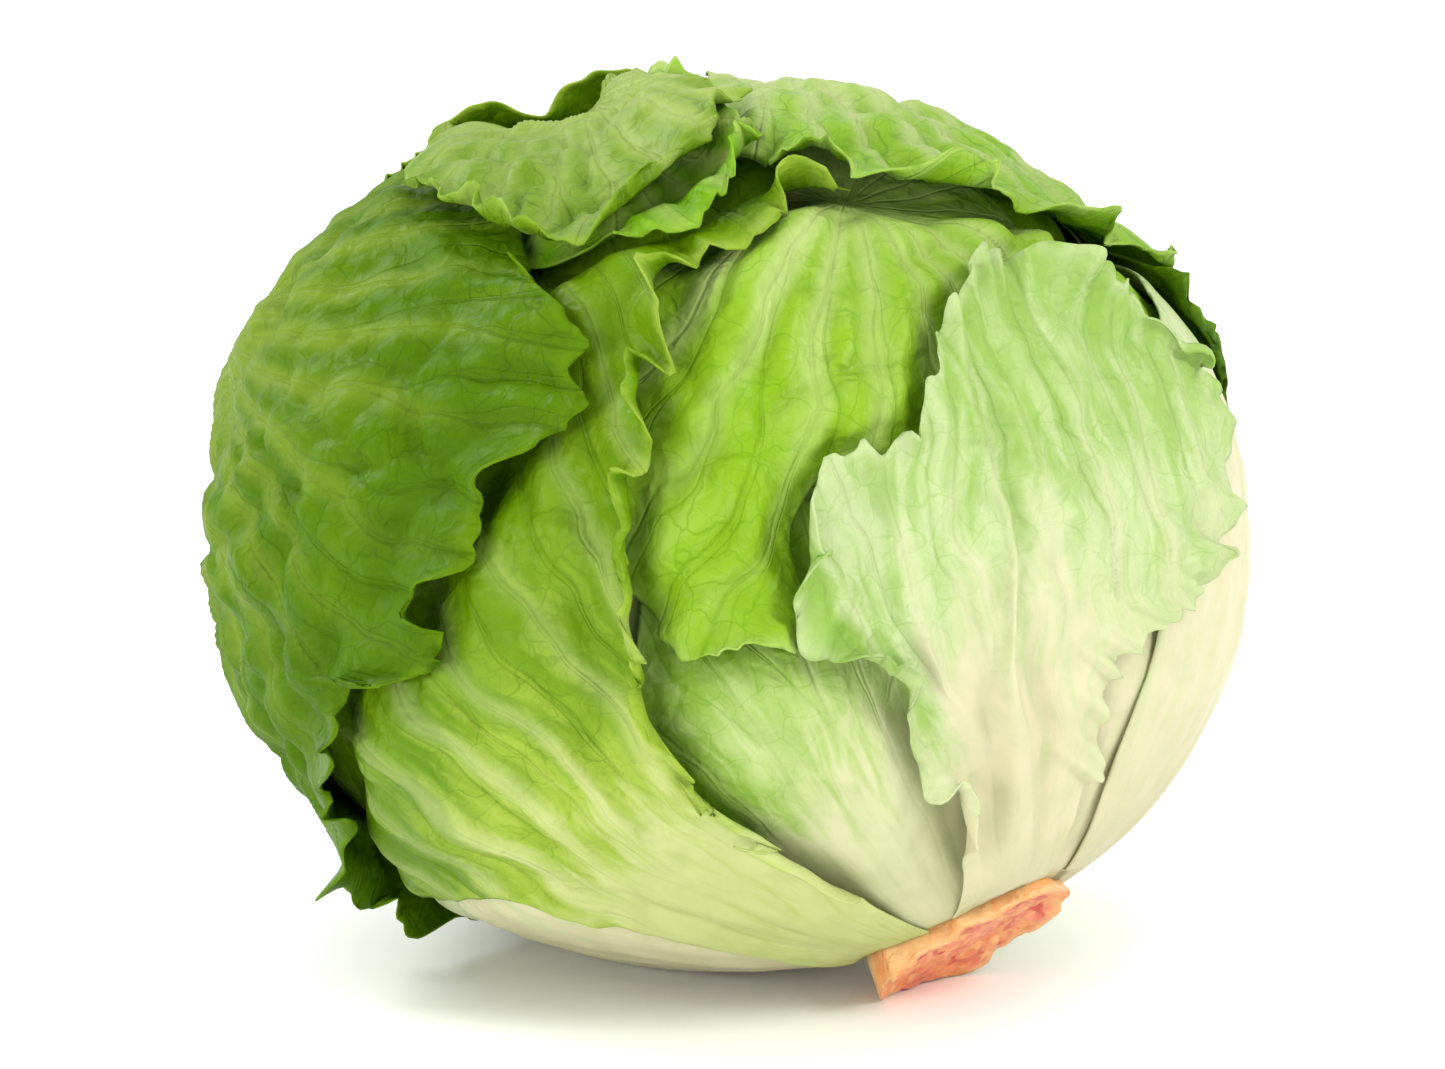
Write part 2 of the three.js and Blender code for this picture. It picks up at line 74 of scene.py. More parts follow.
# Leaves from the innermost to the outermost. A point is (degrees from the stem, degrees around it),
# with 0 around at the front and positive angles towards the right. Other lengths are millimetres.
# Outline: "base" (loose) or "stem_base" (angles around the stem) is where the leaf starts, "left" and
#   "right" are its margins, read from base to tip, and "tip" lies between their ends. "middle" is the
#   centre that the outline is spread from. "coarseness" scales the grid's step.
# Surface: "crumple" is the height of cushions and creases, "folds" are soft ridges (from, to, width,
#   height), and "veins" (a full turn's count) fan out of "veins_from", with ribs up to "rib_reach".
# Margin: "teeth", "ruffle", "curl" and "grow" scale it, "lively" is the share of that on the left,
#   right, tip and base sides, and "curls" are single spots (place, size, longer, higher, rolled).
# Colour: the blade turns green between the two distances of "green_at" from the base.
LEAVES = [
    dict(
        name="back_left_leaf", slot="mid_green_leaf", kind="pinnate", hue="mid",
        middle=(75, -165), stem_base=(-188, -142),
        left=[(40, -205), (75, -208), (105, -205)],
        tip=[(128, -195), (132, -165), (128, -135)],
        right=[(40, -128), (70, -118), (102, -118)],
    ),
    dict(
        name="inner_back_leaf", slot="light_green_leaf", kind="pinnate", hue="fresh",
        middle=(115, 180), stem_base=(168, 192),
        left=[(45, 152), (80, 140), (112, 130), (138, 112)],
        tip=[(158, 60), (163, 0), (158, -60)],
        right=[(45, 208), (80, 220), (112, 230), (138, 248)],
    ),
    dict(
        name="inner_right_leaf", slot="pale_leaf", kind="fan", hue="pale",
        middle=(60, 72), stem_base=(38, 106),
        left=[(38, 36), (66, 38), (92, 48)],
        tip=[(104, 60), (106, 84)],
        right=[(38, 110), (68, 108), (94, 100)],
        crumple=0.35, ruffle=0.3,
        green_at=(75, 150),
        veins=40,
    ),
    dict(
        name="under_leaf", slot="pale_leaf", kind="fan", hue="pale",
        middle=(65, -112), stem_base=(-160, -60),
        left=[(40, -166), (75, -162), (104, -150)],
        tip=[(120, -130), (122, -100)],
        right=[(40, -56), (64, -64), (84, -70), (108, -78)],
        crumple=0.5, ruffle=0.4,
        green_at=(45, 105),
        veins=36,
    ),
    dict(
        name="hollow_crown_leaf", slot="deep_green_leaf", kind="pinnate", hue="fresh",
        middle=(85, 95), stem_base=(112, 138),
        left=[(40, 100), (64, 80), (76, 60)],
        tip=[(88, 40), (106, 38), (122, 50)],
        right=[(42, 146), (80, 138), (108, 108)],
        crumple=2.0, ruffle=1.5,
        green_at=(20, 60),
    ),
    dict(
        name="front_centre_leaf", slot="pale_leaf", kind="fan", hue="soft", coarseness=0.65,
        middle=(45, 3), stem_base=(-24, 22),
        left=[(30, -26), (44, -26), (56, -21)],
        tip=[(66, -12), (75, -2), (74, 12)],
        right=[(34, 27), (50, 25), (64, 21)],
        crumple=1.1, ruffle=1.6, curl=0.8,
        green_at=(22, 85), green_left=18.0,
        veins=36, rib_height=0.5,
        curls=[((59, -10), 5, 1.5, 2.5, 2.2), ((46, -13), 5, 1.5, 2.0, 2.2)],
    ),
    dict(
        name="crown_front_leaf", slot="light_green_leaf", kind="pinnate", hue="fresh",
        coarseness=0.65,
        middle=(92, 20), base=[(128, 40), (132, 22), (130, 2)],
        left=[(112, 58), (100, 66), (88, 60), (78, 44)],
        tip=[(70, 30), (73, 21), (69, 12), (60, 8)],
        right=[(112, -4), (92, -7), (76, -9), (62, -5)],
        crumple=2.3, ruffle=1.6, curl=0.7, teeth=1.0,
        green_at=(-60, 30),
        veins=22, veins_from=(106, 43), rib_height=0.5,
        folds=[
            ((106, 40), (90, 14), 3.2, 3.0), ((92, 15), (62, 6), 3.2, 3.2),
            ((100, 42), (80, 34), 4.0, 1.6), ((102, 2), (64, -5), 4.0, 3.2),
        ],
        curls=[((70, 28), 6, 1.0, 2.0, 1.5), ((74, 40), 7, 2.0, 3.0, 1.6)],
    ),
    dict(
        name="right_leaf", slot="pale_leaf", kind="fan", hue="pale",
        middle=(58, 108), stem_base=(74, 150),
        left=[(28, 58), (44, 62), (58, 69), (76, 73)],
        tip=[(101, 90), (110, 114)],
        right=[(40, 152), (70, 150), (100, 140)],
        crumple=0.35, ruffle=0.3,
        lively=(0.1, 1, 1, 1),
        green_at=(60, 150),
        veins=44, rib_height=0.8, rib_reach=150,
    ),
    dict(
        name="front_right_leaf", slot="pale_leaf", kind="fan", hue="pale", coarseness=0.6,
        middle=(55, 42), stem_base=(8, 52),
        left=[(28, 17), (46, 14), (58, 9), (67, 11)],
        tip=[(73, 20), (72, 28), (84, 41), (86, 52), (80, 66)],
        right=[(30, 49), (44, 52), (50, 68), (62, 75), (74, 77)],
        crumple=1.5, ruffle=3.0, curl=1.4, teeth=0.9,
        green_at=(26, 118), green_left=6.0,
        veins=40, rib_height=2.4, rib_reach=125, midrib=0.42, midrib_height=4.0,
        folds=[
            ((24, 30), (60, 20), 3.0, 2.4), ((26, 36), (76, 34), 2.6, 1.6),
            ((26, 41), (80, 52), 2.6, 1.6), ((26, 46), (66, 64), 2.6, 1.4),
        ],
        curls=[
            ((79, 46), 7, 5, 3, 2.2), ((84, 58), 7, 4, 4, 2.4), ((57, 67), 7, 1, 3, 2.0),
            ((46, 60), 6, 1, 2, 1.6),
        ],
    ),
    dict(
        name="front_left_leaf", slot="light_green_leaf", kind="fan", hue="yellow", coarseness=0.8,
        middle=(68, -30), stem_base=(-78, -5),
        left=[(25, -56), (44, -56), (56, -61), (67, -80), (84, -86)],
        tip=[(106, -70), (126, -38), (130, 4), (120, 38)],
        right=[(27, -12), (40, -16), (52, -17), (66, -9), (83, 2), (95, 10), (104, 24), (105, 42)],
        crumple=1.3, ruffle=2.4, curl=1.6, teeth=1.4,
        lively=(0.1, 1, 1, 1),
        green_at=(18, 100),
        veins=34, rib_height=1.3, rib_reach=190,
        curls=[
            ((80, -2), 3.2, 3, 1.5, 3.0), ((73, -6), 3.2, 3, 1.5, 3.2),
            ((66, -9), 3.4, 3, 1.5, 3.2), ((59, -13), 3.2, 2.5, 1, 2.8), ((101, 10), 8, 4, 4, 2.0),
        ],
    ),
    dict(
        name="back_right_leaf", slot="mid_green_leaf", kind="pinnate", hue="mid",
        middle=(70, 132), stem_base=(122, 170),
        left=[(30, 140), (50, 136), (66, 124), (77, 104)],
        tip=[(87, 86), (100, 90), (118, 118)],
        right=[(42, 178), (80, 172), (108, 155)],
        crumple=1.6, ruffle=1.3, curl=0.6,
        lively=(0.15, 1, 0.8, 1),
        green_at=(30, 95),
        veins=30,
        curls=[((86, 87), 6, 1, 1, 1.4)],
    ),
    dict(
        name="crown_right_leaf", slot="light_green_leaf", kind="pinnate", hue="crown", gloss=0.2,
        coarseness=0.85,
        middle=(110, 110), stem_base=(150, 176),
        left=[(42, 140), (68, 122), (84, 104), (88, 85)],
        tip=[(91, 68), (96, 56), (98, 47), (104, 41), (113, 36)],
        right=[(45, 186), (85, 188), (118, 184), (142, 160), (150, 108), (145, 60), (128, 32)],
        crumple=2.4, ruffle=1.8, curl=1.4, teeth=1.3,
        lively=(0.4, 0.15, 1, 1),
        green_at=(25, 90),
        veins=26, veins_from=(140, 80),
        curls=[((98, 47), 7, 2, 1, 2.4), ((91, 68), 6, 2, 1, 2.2), ((109, 38), 6, 1, 1, 2.2)],
    ),
    dict(
        name="crown_middle_leaf", slot="deep_green_leaf", kind="pinnate", hue="deep",
        coarseness=0.7,
        middle=(130, 8), base=[(148, 48), (160, 0), (148, -50)],
        left=[(136, 42), (122, 36)],
        tip=[(112, 32), (107, 23), (108, 14), (113, 5)],
        right=[(134, -36), (120, -12)],
        crumple=2.2, ruffle=2.4, curl=1.2,
        green_at=(-60, 0),
        veins=30, veins_from=(142, 20),
        curls=[((112, 30), 6, 2, 2, 2.4)],
    ),
    dict(
        name="left_wrapper_leaf", slot="mid_green_leaf", kind="pinnate", hue="mid", gloss=0.06,
        coarseness=1.08,
        middle=(96, -75), stem_base=(-184, -156),
        left=[(42, -184), (78, -186), (112, -176), (136, -140), (148, -90)],
        tip=[(166, -50), (158, 2), (146, 6)],
        right=[
            (30, -157), (46, -151), (60, -126), (68, -98), (74, -76), (78, -58), (85, -46),
            (80, -34), (88, -20), (92, -7), (100, 0), (112, 0), (126, 2),
        ],
        crumple=2.4, ruffle=2.2, curl=1.4, teeth=1.3, grow=2.5,
        green_at=(15, 80),
        veins=26, veins_from=(134, -58),
        folds=[
            ((134, -44), (94, -12), 4.5, 1.8), ((136, -40), (112, -3), 5.0, 1.8),
            ((128, -58), (90, -42), 5.0, 1.8), ((120, -68), (84, -60), 4.5, 1.6),
        ],
        curls=[
            ((92, -14), 6, 3, 3, 3.0), ((86, -31), 4, 3, 3, 2.6), ((88, -42), 4, 2, 3, 2.6),
            ((81, -51), 6, 9, 3, 1.2), ((77, -77), 6, 6, 5, 0.9), ((71, -84), 7, 9, 5, 0.8),
            ((68, -96), 6, 9, 4, 0.6),
        ],
    ),
    dict(
        name="crown_left_leaf", slot="mid_green_leaf", kind="pinnate", hue="grey", gloss=0.16,
        coarseness=0.7,
        middle=(142, 12), base=[(166, 140), (176, -150), (170, -40)],
        left=[(166, 60), (150, 42), (138, 39)],
        tip=[(125, 37), (118, 28)],
        right=[(160, -6), (147, -10), (136, -10), (124, -6), (112, 1), (110, 10), (115, 18)],
        crumple=2.8, ruffle=1.8, curl=1.0, teeth=1.2,
        lively=(0.5, 1, 1, 0.2),
        green_at=(-60, 0),
        veins=30, veins_from=(152, 32),
        curls=[((113, 1), 7, 4, 2, 2.4), ((119, -4), 6, 2, 2, 2.0)],
    ),
    dict(
        name="outer_back_leaf", slot="mid_green_leaf", kind="pinnate", hue="yellow",
        middle=(105, 185), stem_base=(158, 205),
        left=[(42, 152), (80, 142), (112, 138), (138, 118)],
        tip=[(156, 78), (162, 20), (160, -40), (152, -85)],
        right=[(28, 202), (44, 198), (62, 204), (84, 222), (112, 236), (140, 250)],
        crumple=2.2, ruffle=1.6, curl=1.2, teeth=0.6,
        lively=(0.8, 0.5, 0.6, 1),
        green_at=(25, 95),
        curls=[((160, 0), 9, 3, 2, 0.0), ((157, -32), 9, 3, 2, 0.0), ((157, 52), 7, 2, 2, 0.0)],
    ),
]

# Colours as linear light: rib base, pale zone, blade, darkest blade and veins.
HUES = {
    "pale": (
        (0.67, 0.63, 0.41), (0.52, 0.61, 0.31), (0.28, 0.46, 0.08),
        (0.17, 0.35, 0.02), (0.28, 0.44, 0.10),
    ),
    "soft": (
        (0.63, 0.64, 0.38), (0.41, 0.54, 0.17), (0.20, 0.38, 0.015),
        (0.15, 0.31, 0.008), (0.20, 0.36, 0.025),
    ),
    "yellow": (
        (0.57, 0.62, 0.26), (0.35, 0.48, 0.05), (0.14, 0.28, 0.0015),
        (0.09, 0.21, 0.001), (0.11, 0.23, 0.002),
    ),
    "fresh": (
        (0.61, 0.65, 0.30), (0.43, 0.57, 0.15), (0.235, 0.43, 0.012),
        (0.14, 0.33, 0.003), (0.17, 0.35, 0.006),
    ),
    "crown": (
        (0.54, 0.58, 0.28), (0.38, 0.55, 0.10), (0.21, 0.40, 0.010),
        (0.12, 0.30, 0.003), (0.11, 0.26, 0.004),
    ),
    "mid": (
        (0.27, 0.36, 0.04), (0.15, 0.28, 0.004), (0.075, 0.175, 0.0003),
        (0.05, 0.13, 0.0002), (0.05, 0.125, 0.0003),
    ),
    "grey": (
        (0.42, 0.50, 0.14), (0.26, 0.42, 0.03), (0.15, 0.28, 0.006),
        (0.09, 0.20, 0.002), (0.075, 0.17, 0.002),
    ),
    "deep": (
        (0.46, 0.52, 0.16), (0.28, 0.50, 0.03), (0.16, 0.38, 0.003),
        (0.09, 0.26, 0.001), (0.09, 0.25, 0.001),
    ),
}


# ---------------------------------------------------------------------------------------------
# The head's own directions


def unit(vector):
    vector = np.asarray(vector, float)
    return vector / np.linalg.norm(vector, axis=-1, keepdims=True)


STEM_AXIS = unit(STEM_DIRECTION)
FRONT_AXIS = unit(np.array([0.0, -1.0, 0.0]) + STEM_AXIS * STEM_AXIS[1])
SIDE_AXIS = np.cross(FRONT_AXIS, STEM_AXIS)


def direction(from_stem, around):
    """Unit directions from the ball's centre for angles in degrees."""
    a = np.radians(np.asarray(from_stem, float))[..., None]
    b = np.radians(np.asarray(around, float))[..., None]
    return np.cos(a) * STEM_AXIS + np.sin(a) * (np.cos(b) * FRONT_AXIS + np.sin(b) * SIDE_AXIS)


def angles_of(units):
    from_stem = np.degrees(np.arccos(np.clip(units @ STEM_AXIS, -1, 1)))
    around = np.degrees(np.arctan2(units @ SIDE_AXIS, units @ FRONT_AXIS))
    return from_stem, around


def bell(x, width):
    return np.exp(-((x / width) ** 2))


def step_up(x, start, end):
    t = np.clip((x - start) / (end - start), 0, 1)
    return t * t * (3 - 2 * t)


def head_radius(from_stem, around):
    """Radius of the finished head, in millimetres."""
    units = direction(from_stem, around)
    ball = 1 / np.linalg.norm(units / HALF_SIZES, axis=-1)
    above = (1 + np.cos(np.radians(around - NECK_AT))) / 2
    neck = NECK_RISE * bell(from_stem - LEAF_BASE_ANGLE, NECK_ANGLE) * above
    turn = np.maximum(0, np.cos(np.radians(around - SHOULDER_AT[1])))
    shoulder = SHOULDER_RISE * bell(from_stem - SHOULDER_AT[0], SHOULDER_ANGLE) * turn**2
    off = np.degrees(np.arccos(np.clip(units @ direction(*HOLLOW_AT), -1, 1)))
    hollow = HOLLOW_DEPTH * bell(off, HOLLOW_SPREAD)
    down = np.maximum(-units[..., 2], 0.5)
    rest = np.where(units[..., 2] < -0.5, (HALF_SIZES[2] - REST_FLAT) / down, np.inf)
    return np.minimum(ball + neck + shoulder - hollow, rest)


# ---------------------------------------------------------------------------------------------
# Smooth random fields that come out the same on each run


def hashed(cell, seed):
    """Numbers from 0 to 1 for whole-number cells."""
    c = cell.astype(np.int64)
    h = c[..., 0] * 374761393 + c[..., 1] * 668265263 + c[..., 2] * 2147483647 + seed * 1274126177
    h = (h ^ (h >> 13)) * 1274126177
    h = h ^ (h >> 16)
    return (h & 0xFFFFFF) / float(0xFFFFFF)


def noise(points, size, seed):
    """Smooth values from -1 to 1, with lumps about as big as size."""
    p = np.asarray(points) / size
    low = np.floor(p)
    f = p - low
    f = f * f * f * (f * (f * 6 - 15) + 10)
    total = 0
    for dx in (0, 1):
        for dy in (0, 1):
            for dz in (0, 1):
                weight = (
                    (f[..., 0] if dx else 1 - f[..., 0])
                    * (f[..., 1] if dy else 1 - f[..., 1])
                    * (f[..., 2] if dz else 1 - f[..., 2])
                )
                total = total + weight * hashed(low + np.array([dx, dy, dz]), seed)
    return total * 2 - 1


def layered_noise(points, size, seed, layers=3):
    total = 0
    for k in range(layers):
        total = total + noise(points, size / 2**k, seed + 17 * k) / 2**k
    return total / 1.5


def cell_distances(points, size, seed):
    """Distance to the nearest of scattered points, in cells."""
    p = np.asarray(points) / size
    low = np.floor(p)
    nearest = np.full(p.shape[:-1], 9.0)
    for dx in (-1, 0, 1):
        for dy in (-1, 0, 1):
            for dz in (-1, 0, 1):
                cell = low + np.array([dx, dy, dz])
                spot = cell + np.stack([hashed(cell, seed + k) for k in (1, 2, 3)], -1)
                nearest = np.minimum(nearest, np.linalg.norm(p - spot, axis=-1))
    return nearest


# ---------------------------------------------------------------------------------------------
# Maps of the leaf stack: one value per degree from the stem and around it

ROWS, COLUMNS = 181, 360
ROW_SINE = np.maximum(np.sin(np.radians(np.arange(ROWS))), 0.02)


def filter_map(values, reach, largest):
    """The largest or the average of each cell's neighbours, along the meridians and then around."""
    steps = int(round(reach))
    padded = np.pad(values, ((steps, steps), (0, 0)), mode="edge")
    stack = np.stack([padded[k : k + ROWS] for k in range(2 * steps + 1)])
    along = stack.max(0) if largest else stack.mean(0)
    result = np.empty_like(along)
    for row in range(ROWS):
        wide = min(int(math.ceil(reach / ROW_SINE[row])), COLUMNS // 2)
        ring = np.concatenate([along[row, -wide:], along[row], along[row, :wide]])
        windows = np.lib.stride_tricks.sliding_window_view(ring, 2 * wide + 1)
        result[row] = windows.max(1) if largest else windows.mean(1)
    return result


def smooth_cover(values, reach=DRAPE_REACH):
    """A smooth surface on or above the map."""
    return filter_map(filter_map(values, reach, True), reach, False)


def read_map(values, from_stem, around):
    """Values between the cells, without creases."""
    y = np.clip(from_stem, 0, ROWS - 1.001)
    x = np.mod(around, 360)
    row = np.floor(y).astype(int)
    column = np.floor(x).astype(int)

    def weights(t):
        inner = (3 * t**3 - 6 * t**2 + 4) / 6, (-3 * t**3 + 3 * t**2 + 3 * t + 1) / 6
        return [(1 - t) ** 3 / 6, *inner, t**3 / 6]

    total = 0
    for i, wy in enumerate(weights(y - row)):
        r = np.clip(row + i - 1, 0, ROWS - 1)
        for j, wx in enumerate(weights(x - column)):
            total = total + wy * wx * values[r, (column + j - 1) % COLUMNS]
    return total


def mark_cells(target, from_stem, around, heights):
    """Raises the cells under these points to at least their heights."""
    rows = np.rint(from_stem).astype(int).ravel()
    columns = np.rint(around).astype(int).ravel()
    heights = np.broadcast_to(heights, np.shape(from_stem)).ravel()
    reach = np.minimum(np.rint(0.5 / ROW_SINE[rows]).astype(int), COLUMNS // 2)
    for k in range(-int(reach.max()), int(reach.max()) + 1):
        ok = np.abs(k) <= reach
        if ok.any():
            np.maximum.at(target, (rows[ok], (columns[ok] + k) % COLUMNS), heights[ok])


# ---------------------------------------------------------------------------------------------
# Leaf outlines and grids


class Chart:
    """Flat map around a leaf's middle, in degrees."""

    def __init__(self, middle):
        self.centre = direction(*middle)
        self.away = direction(middle[0] + 90, middle[1])
        self.across = np.cross(self.away, self.centre)

    def flatten(self, points):
        points = np.asarray(points, float)
        units = direction(points[:, 0], points[:, 1])
        angle = np.degrees(np.arccos(np.clip(units @ self.centre, -1, 1)))
        flat = np.stack([units @ self.away, units @ self.across], -1)
        length = np.maximum(np.linalg.norm(flat, axis=-1), 1e-9)
        return flat * (angle / length)[:, None]

    def unflatten(self, flat):
        angle = np.linalg.norm(flat, axis=-1)
        safe = np.maximum(angle, 1e-9)
        push = np.sin(np.radians(angle)) / safe
        units = (
            np.cos(np.radians(angle))[..., None] * self.centre
            + (flat[..., 0] * push)[..., None] * self.away
            + (flat[..., 1] * push)[..., None] * self.across
        )
        return angles_of(units)


def smooth_line(points, pieces):
    """Evenly spaced points on a smooth curve through the given ones."""
    p = np.vstack([points[:1], points, points[-1:]])
    fine = []
    for k in range(1, len(p) - 2):
        t = np.linspace(0, 1, 24, endpoint=False)[:, None]
        a, b, c, d = p[k - 1], p[k], p[k + 1], p[k + 2]
        square, cube = 2 * a - 5 * b + 4 * c - d, 3 * b - a - 3 * c + d
        fine.append(0.5 * (2 * b + (c - a) * t + square * t**2 + cube * t**3))
    fine = np.vstack(fine + [p[-1:]])
    at = np.concatenate([[0], np.cumsum(np.linalg.norm(np.diff(fine, axis=0), axis=1))])
    even = np.linspace(0, at[-1], pieces + 1)
    return np.stack([np.interp(even, at, fine[:, k]) for k in (0, 1)], -1)


def line_length(points):
    return np.linalg.norm(np.diff(points, axis=0), axis=1).sum()


def leaf_grid(leaf, step):
    """Angles of a grid spread between the four sides of a leaf, rows from base to tip."""
    chart = Chart(leaf["middle"])
    if "base" in leaf:
        base = chart.flatten(leaf["base"])
    else:
        turn = np.linspace(*leaf["stem_base"], 7)
        base = chart.flatten(np.stack([np.full(7, LEAF_BASE_ANGLE), turn], -1))
    left = np.vstack([base[:1], chart.flatten(leaf["left"])])
    right = np.vstack([base[-1:], chart.flatten(leaf["right"])])
    tip = np.vstack([left[-1:], chart.flatten(leaf["tip"]), right[-1:]])
    along = max(8, int(round((line_length(left) + line_length(right)) / 2 / step)))
    middle_left, middle_right = smooth_line(left, 4), smooth_line(right, 4)
    widths = [np.linalg.norm(middle_left[k] - middle_right[k]) for k in (1, 2, 3)]
    across = max(8, int(round(max(widths + [line_length(tip)]) / step)))
    base, tip = smooth_line(base, across), smooth_line(tip, across)
    left, right = smooth_line(left, along), smooth_line(right, along)
    u = np.linspace(0, 1, along + 1)[:, None, None]
    v = np.linspace(0, 1, across + 1)[None, :, None]
    flat = left[:, None] * (1 - v) + right[:, None] * v + base[None] * (1 - u) + tip[None] * u
    flat = flat - left[0] * (1 - u) * (1 - v) - right[0] * (1 - u) * v
    flat = flat - left[-1] * u * (1 - v) - right[-1] * u * v
    from_stem, around = chart.unflatten(flat)
    return np.maximum(from_stem, LEAF_BASE_ANGLE), around


# ---------------------------------------------------------------------------------------------
# Relief of one leaf


def line_mask(distance, width):
    return np.exp(-((distance / width) ** 2))


def running_length(points, axis):
    steps = np.linalg.norm(np.diff(points, axis=axis), axis=-1)
    zero = np.zeros_like(np.take(steps, [0], axis=axis))
    return np.concatenate([zero, np.cumsum(steps, axis=axis)], axis=axis)


def between_veins(phase, spread):
    """Height from 0 to 1 across the cushion between two veins, and how wide the cushion is."""
    share = phase - np.floor(phase)
    fork = 0.5 * step_up(spread, FORK_STARTS, FORK_ENDS)
    left = share < fork
    low = np.where(left, 0.0, fork)
    high = np.where(left, fork, 1.0)
    gap = np.maximum(high - low, 0.02)
    t = (share - low) / gap
    return 4 * t * (1 - t), gap * spread


class LeafFields:
    """Positions, distances and venation of a leaf on the finished head's surface."""

    def __init__(self, leaf, step, seed):
        self.leaf, self.seed = leaf, seed
        self.from_stem, self.around = leaf_grid(leaf, step)
        self.units = direction(self.from_stem, self.around)
        self.flat = self.units * head_radius(self.from_stem, self.around)[..., None]
        self.along = running_length(self.flat, 0)
        self.across = running_length(self.flat, 1)
        rows, columns = self.from_stem.shape
        self.u = np.repeat(np.linspace(0, 1, rows)[:, None], columns, 1)
        self.v = np.repeat(np.linspace(0, 1, columns)[None], rows, 0)
        self.width = self.across[:, -1:] + 1e-6
        self.length = self.along[-1:, :] + 1e-6
        self.margins()
        self.venation()

    def margins(self):
        """Distance to the free margin, the nearest spot on it and the way out of the leaf."""
        p = self.flat
        loose = "base" in self.leaf
        sides = [
            (self.across, p[:, :1], p[:, :1] - p[:, 1:2]),
            (self.width - self.across, p[:, -1:], p[:, -1:] - p[:, -2:-1]),
            (self.length - self.along, p[-1:], p[-1:] - p[-2:-1]),
        ]
        if loose:
            sides.append((self.along, p[:1], p[:1] - p[1:2]))
        weights = [np.exp(-distance / 4.0) for distance, _, _ in sides]
        total = sum(weights)
        lively = self.leaf.get("lively", (1, 1, 1, 1))
        self.lively = sum(weight * share for weight, share in zip(weights, lively)) / total
        self.margin_distance = np.minimum.reduce([distance for distance, _, _ in sides])
        spot, out = 0, 0
        for weight, (_, edge, outward) in zip(weights, sides):
            share = (weight / total)[..., None]
            spot = spot + share * edge
            out = out + share * unit(outward)
        self.margin_spot = spot
        out = out - (out * self.units).sum(-1, keepdims=True) * self.units
        self.out = out / np.maximum(np.linalg.norm(out, axis=-1, keepdims=True), 1e-6)
        self.free = np.ones_like(self.u) if loose else step_up(self.along, 12.0, 30.0)

    def venation(self):
        """Veins fan out of one spot: a count that is whole on each vein, and how far apart they are."""
        leaf, p, seed = self.leaf, self.flat, self.seed
        origin = direction(*leaf.get("veins_from", (0, 0)))
        ahead = direction(*leaf["middle"])
        ahead = unit(ahead - origin * (ahead @ origin))
        aside = np.cross(origin, ahead)
        self.reach = BALL_RADIUS * np.arccos(np.clip(self.units @ origin, -1, 1))
        turn = np.degrees(np.arctan2(self.units @ aside, self.units @ ahead))
        count = leaf.get("veins", 26)
        sway = 0.45 * noise(p, 34.0, seed + 3) + 0.20 * noise(p, 13.0, seed + 4)
        sway = sway + 0.05 * noise(p, 5.0, seed + 5)
        self.phase = turn * count / 360 + sway
        spread = 2 * math.pi / count * BALL_RADIUS * np.maximum(np.sin(self.reach / BALL_RADIUS), 0.1)
        self.spread = spread * (1 + 0.3 * noise(p, 26.0, seed + 6))

    def ribs(self):
        """Thick ribs near the base of the veins and, on some leaves, a broad midrib."""
        leaf = self.leaf
        share = self.phase - np.floor(self.phase)
        distance = np.minimum(share, 1 - share) * self.spread
        near = 1 - step_up(self.reach, 30.0, leaf.get("rib_reach", 90.0))
        wide = 0.8 + 1.6 * near
        uneven = 0.75 + 0.35 * noise(self.flat, 30.0, self.seed + 8)
        rib = line_mask(distance, wide) * near * uneven
        height = leaf.get("rib_height", 0.8) * rib
        if "midrib" in leaf:
            side = (self.v - leaf["midrib"]) * self.width + 1.2 * noise(self.flat, 26.0, self.seed + 9)
            broad = 0.8 + 3.6 * (1 - self.u) ** 1.6
            line = line_mask(side, broad) * (1 - 0.9 * step_up(self.u, 0.2, 1.0))
            height = height + leaf.get("midrib_height", 1.0) * line
            rib = np.maximum(rib, line)
        return height, rib

    def relief(self, exposed):
        """Heights of ribs, cushions and crumples, the rib mask that colours them, and a relief mask for
        painted light and shade: raised parts painted lighter, low parts painted darker.
        """
        leaf, seed, p = self.leaf, self.seed, self.flat
        ribs, rib = self.ribs()
        cushion, gap = between_veins(self.phase, self.spread)
        puffed = step_up(self.along, 25.0, 80.0) if "base" not in leaf else 1.0
        crumple = leaf.get("crumple", 1.0)
        broad = layered_noise(p, 26.0, seed + 11, 2)
        warped = p + 5.0 * noise(p, 18.0, seed + 12)[..., None]
        creases = np.clip(1 - np.abs(noise(warped, 17.0, seed + 13)) * 2.2, 0, 1)
        split = np.clip(np.abs(noise(warped, 13.0, seed + 14)) * 3.0, 0, 1)
        pillow = cushion * split * np.clip(gap / 12.0, 0.3, 1.2)
        fine = noise(p, 4.5, seed + 15)
        nearest = cell_distances(p + 2.0 * noise(p, 8.0, seed + 17)[..., None], 9.5, seed + 18)
        domes = np.clip(1 - (nearest / 0.72) ** 2, 0, 1) * np.clip(0.6 + noise(p, 22.0, seed + 19), 0, 1)
        # Crumples grow towards the margin, and the very edge settles on the leaf below.
        edge = 1 + 0.5 * np.clip(1 - self.margin_distance / 16.0, 0, 1) - np.exp(-self.margin_distance / 3.5)
        lumps = 0.3 + 0.7 * broad + 0.5 * creases + 1.0 * pillow + 1.4 * domes + 0.10 * fine
        rise = crumple * edge * lumps * (0.15 + 0.85 * puffed)
        for start, end, wide, high in leaf.get("folds", []):
            rise = rise + high * self.ridge(start, end, wide)
        rooted = 1.0 if "base" in leaf else step_up(self.along, 1.0, 16.0)
        calm = 1 - 0.8 * (1 - self.lively) * np.exp(-self.margin_distance / 9.0)
        height = (ribs + rise * (0.12 + 0.88 * exposed)) * rooted * calm
        # The third value is the relief mask for painted highlight on raised parts and painted shade in low
        # parts.
        return height, rib, (0.8 * broad + creases + pillow - 0.6) * puffed

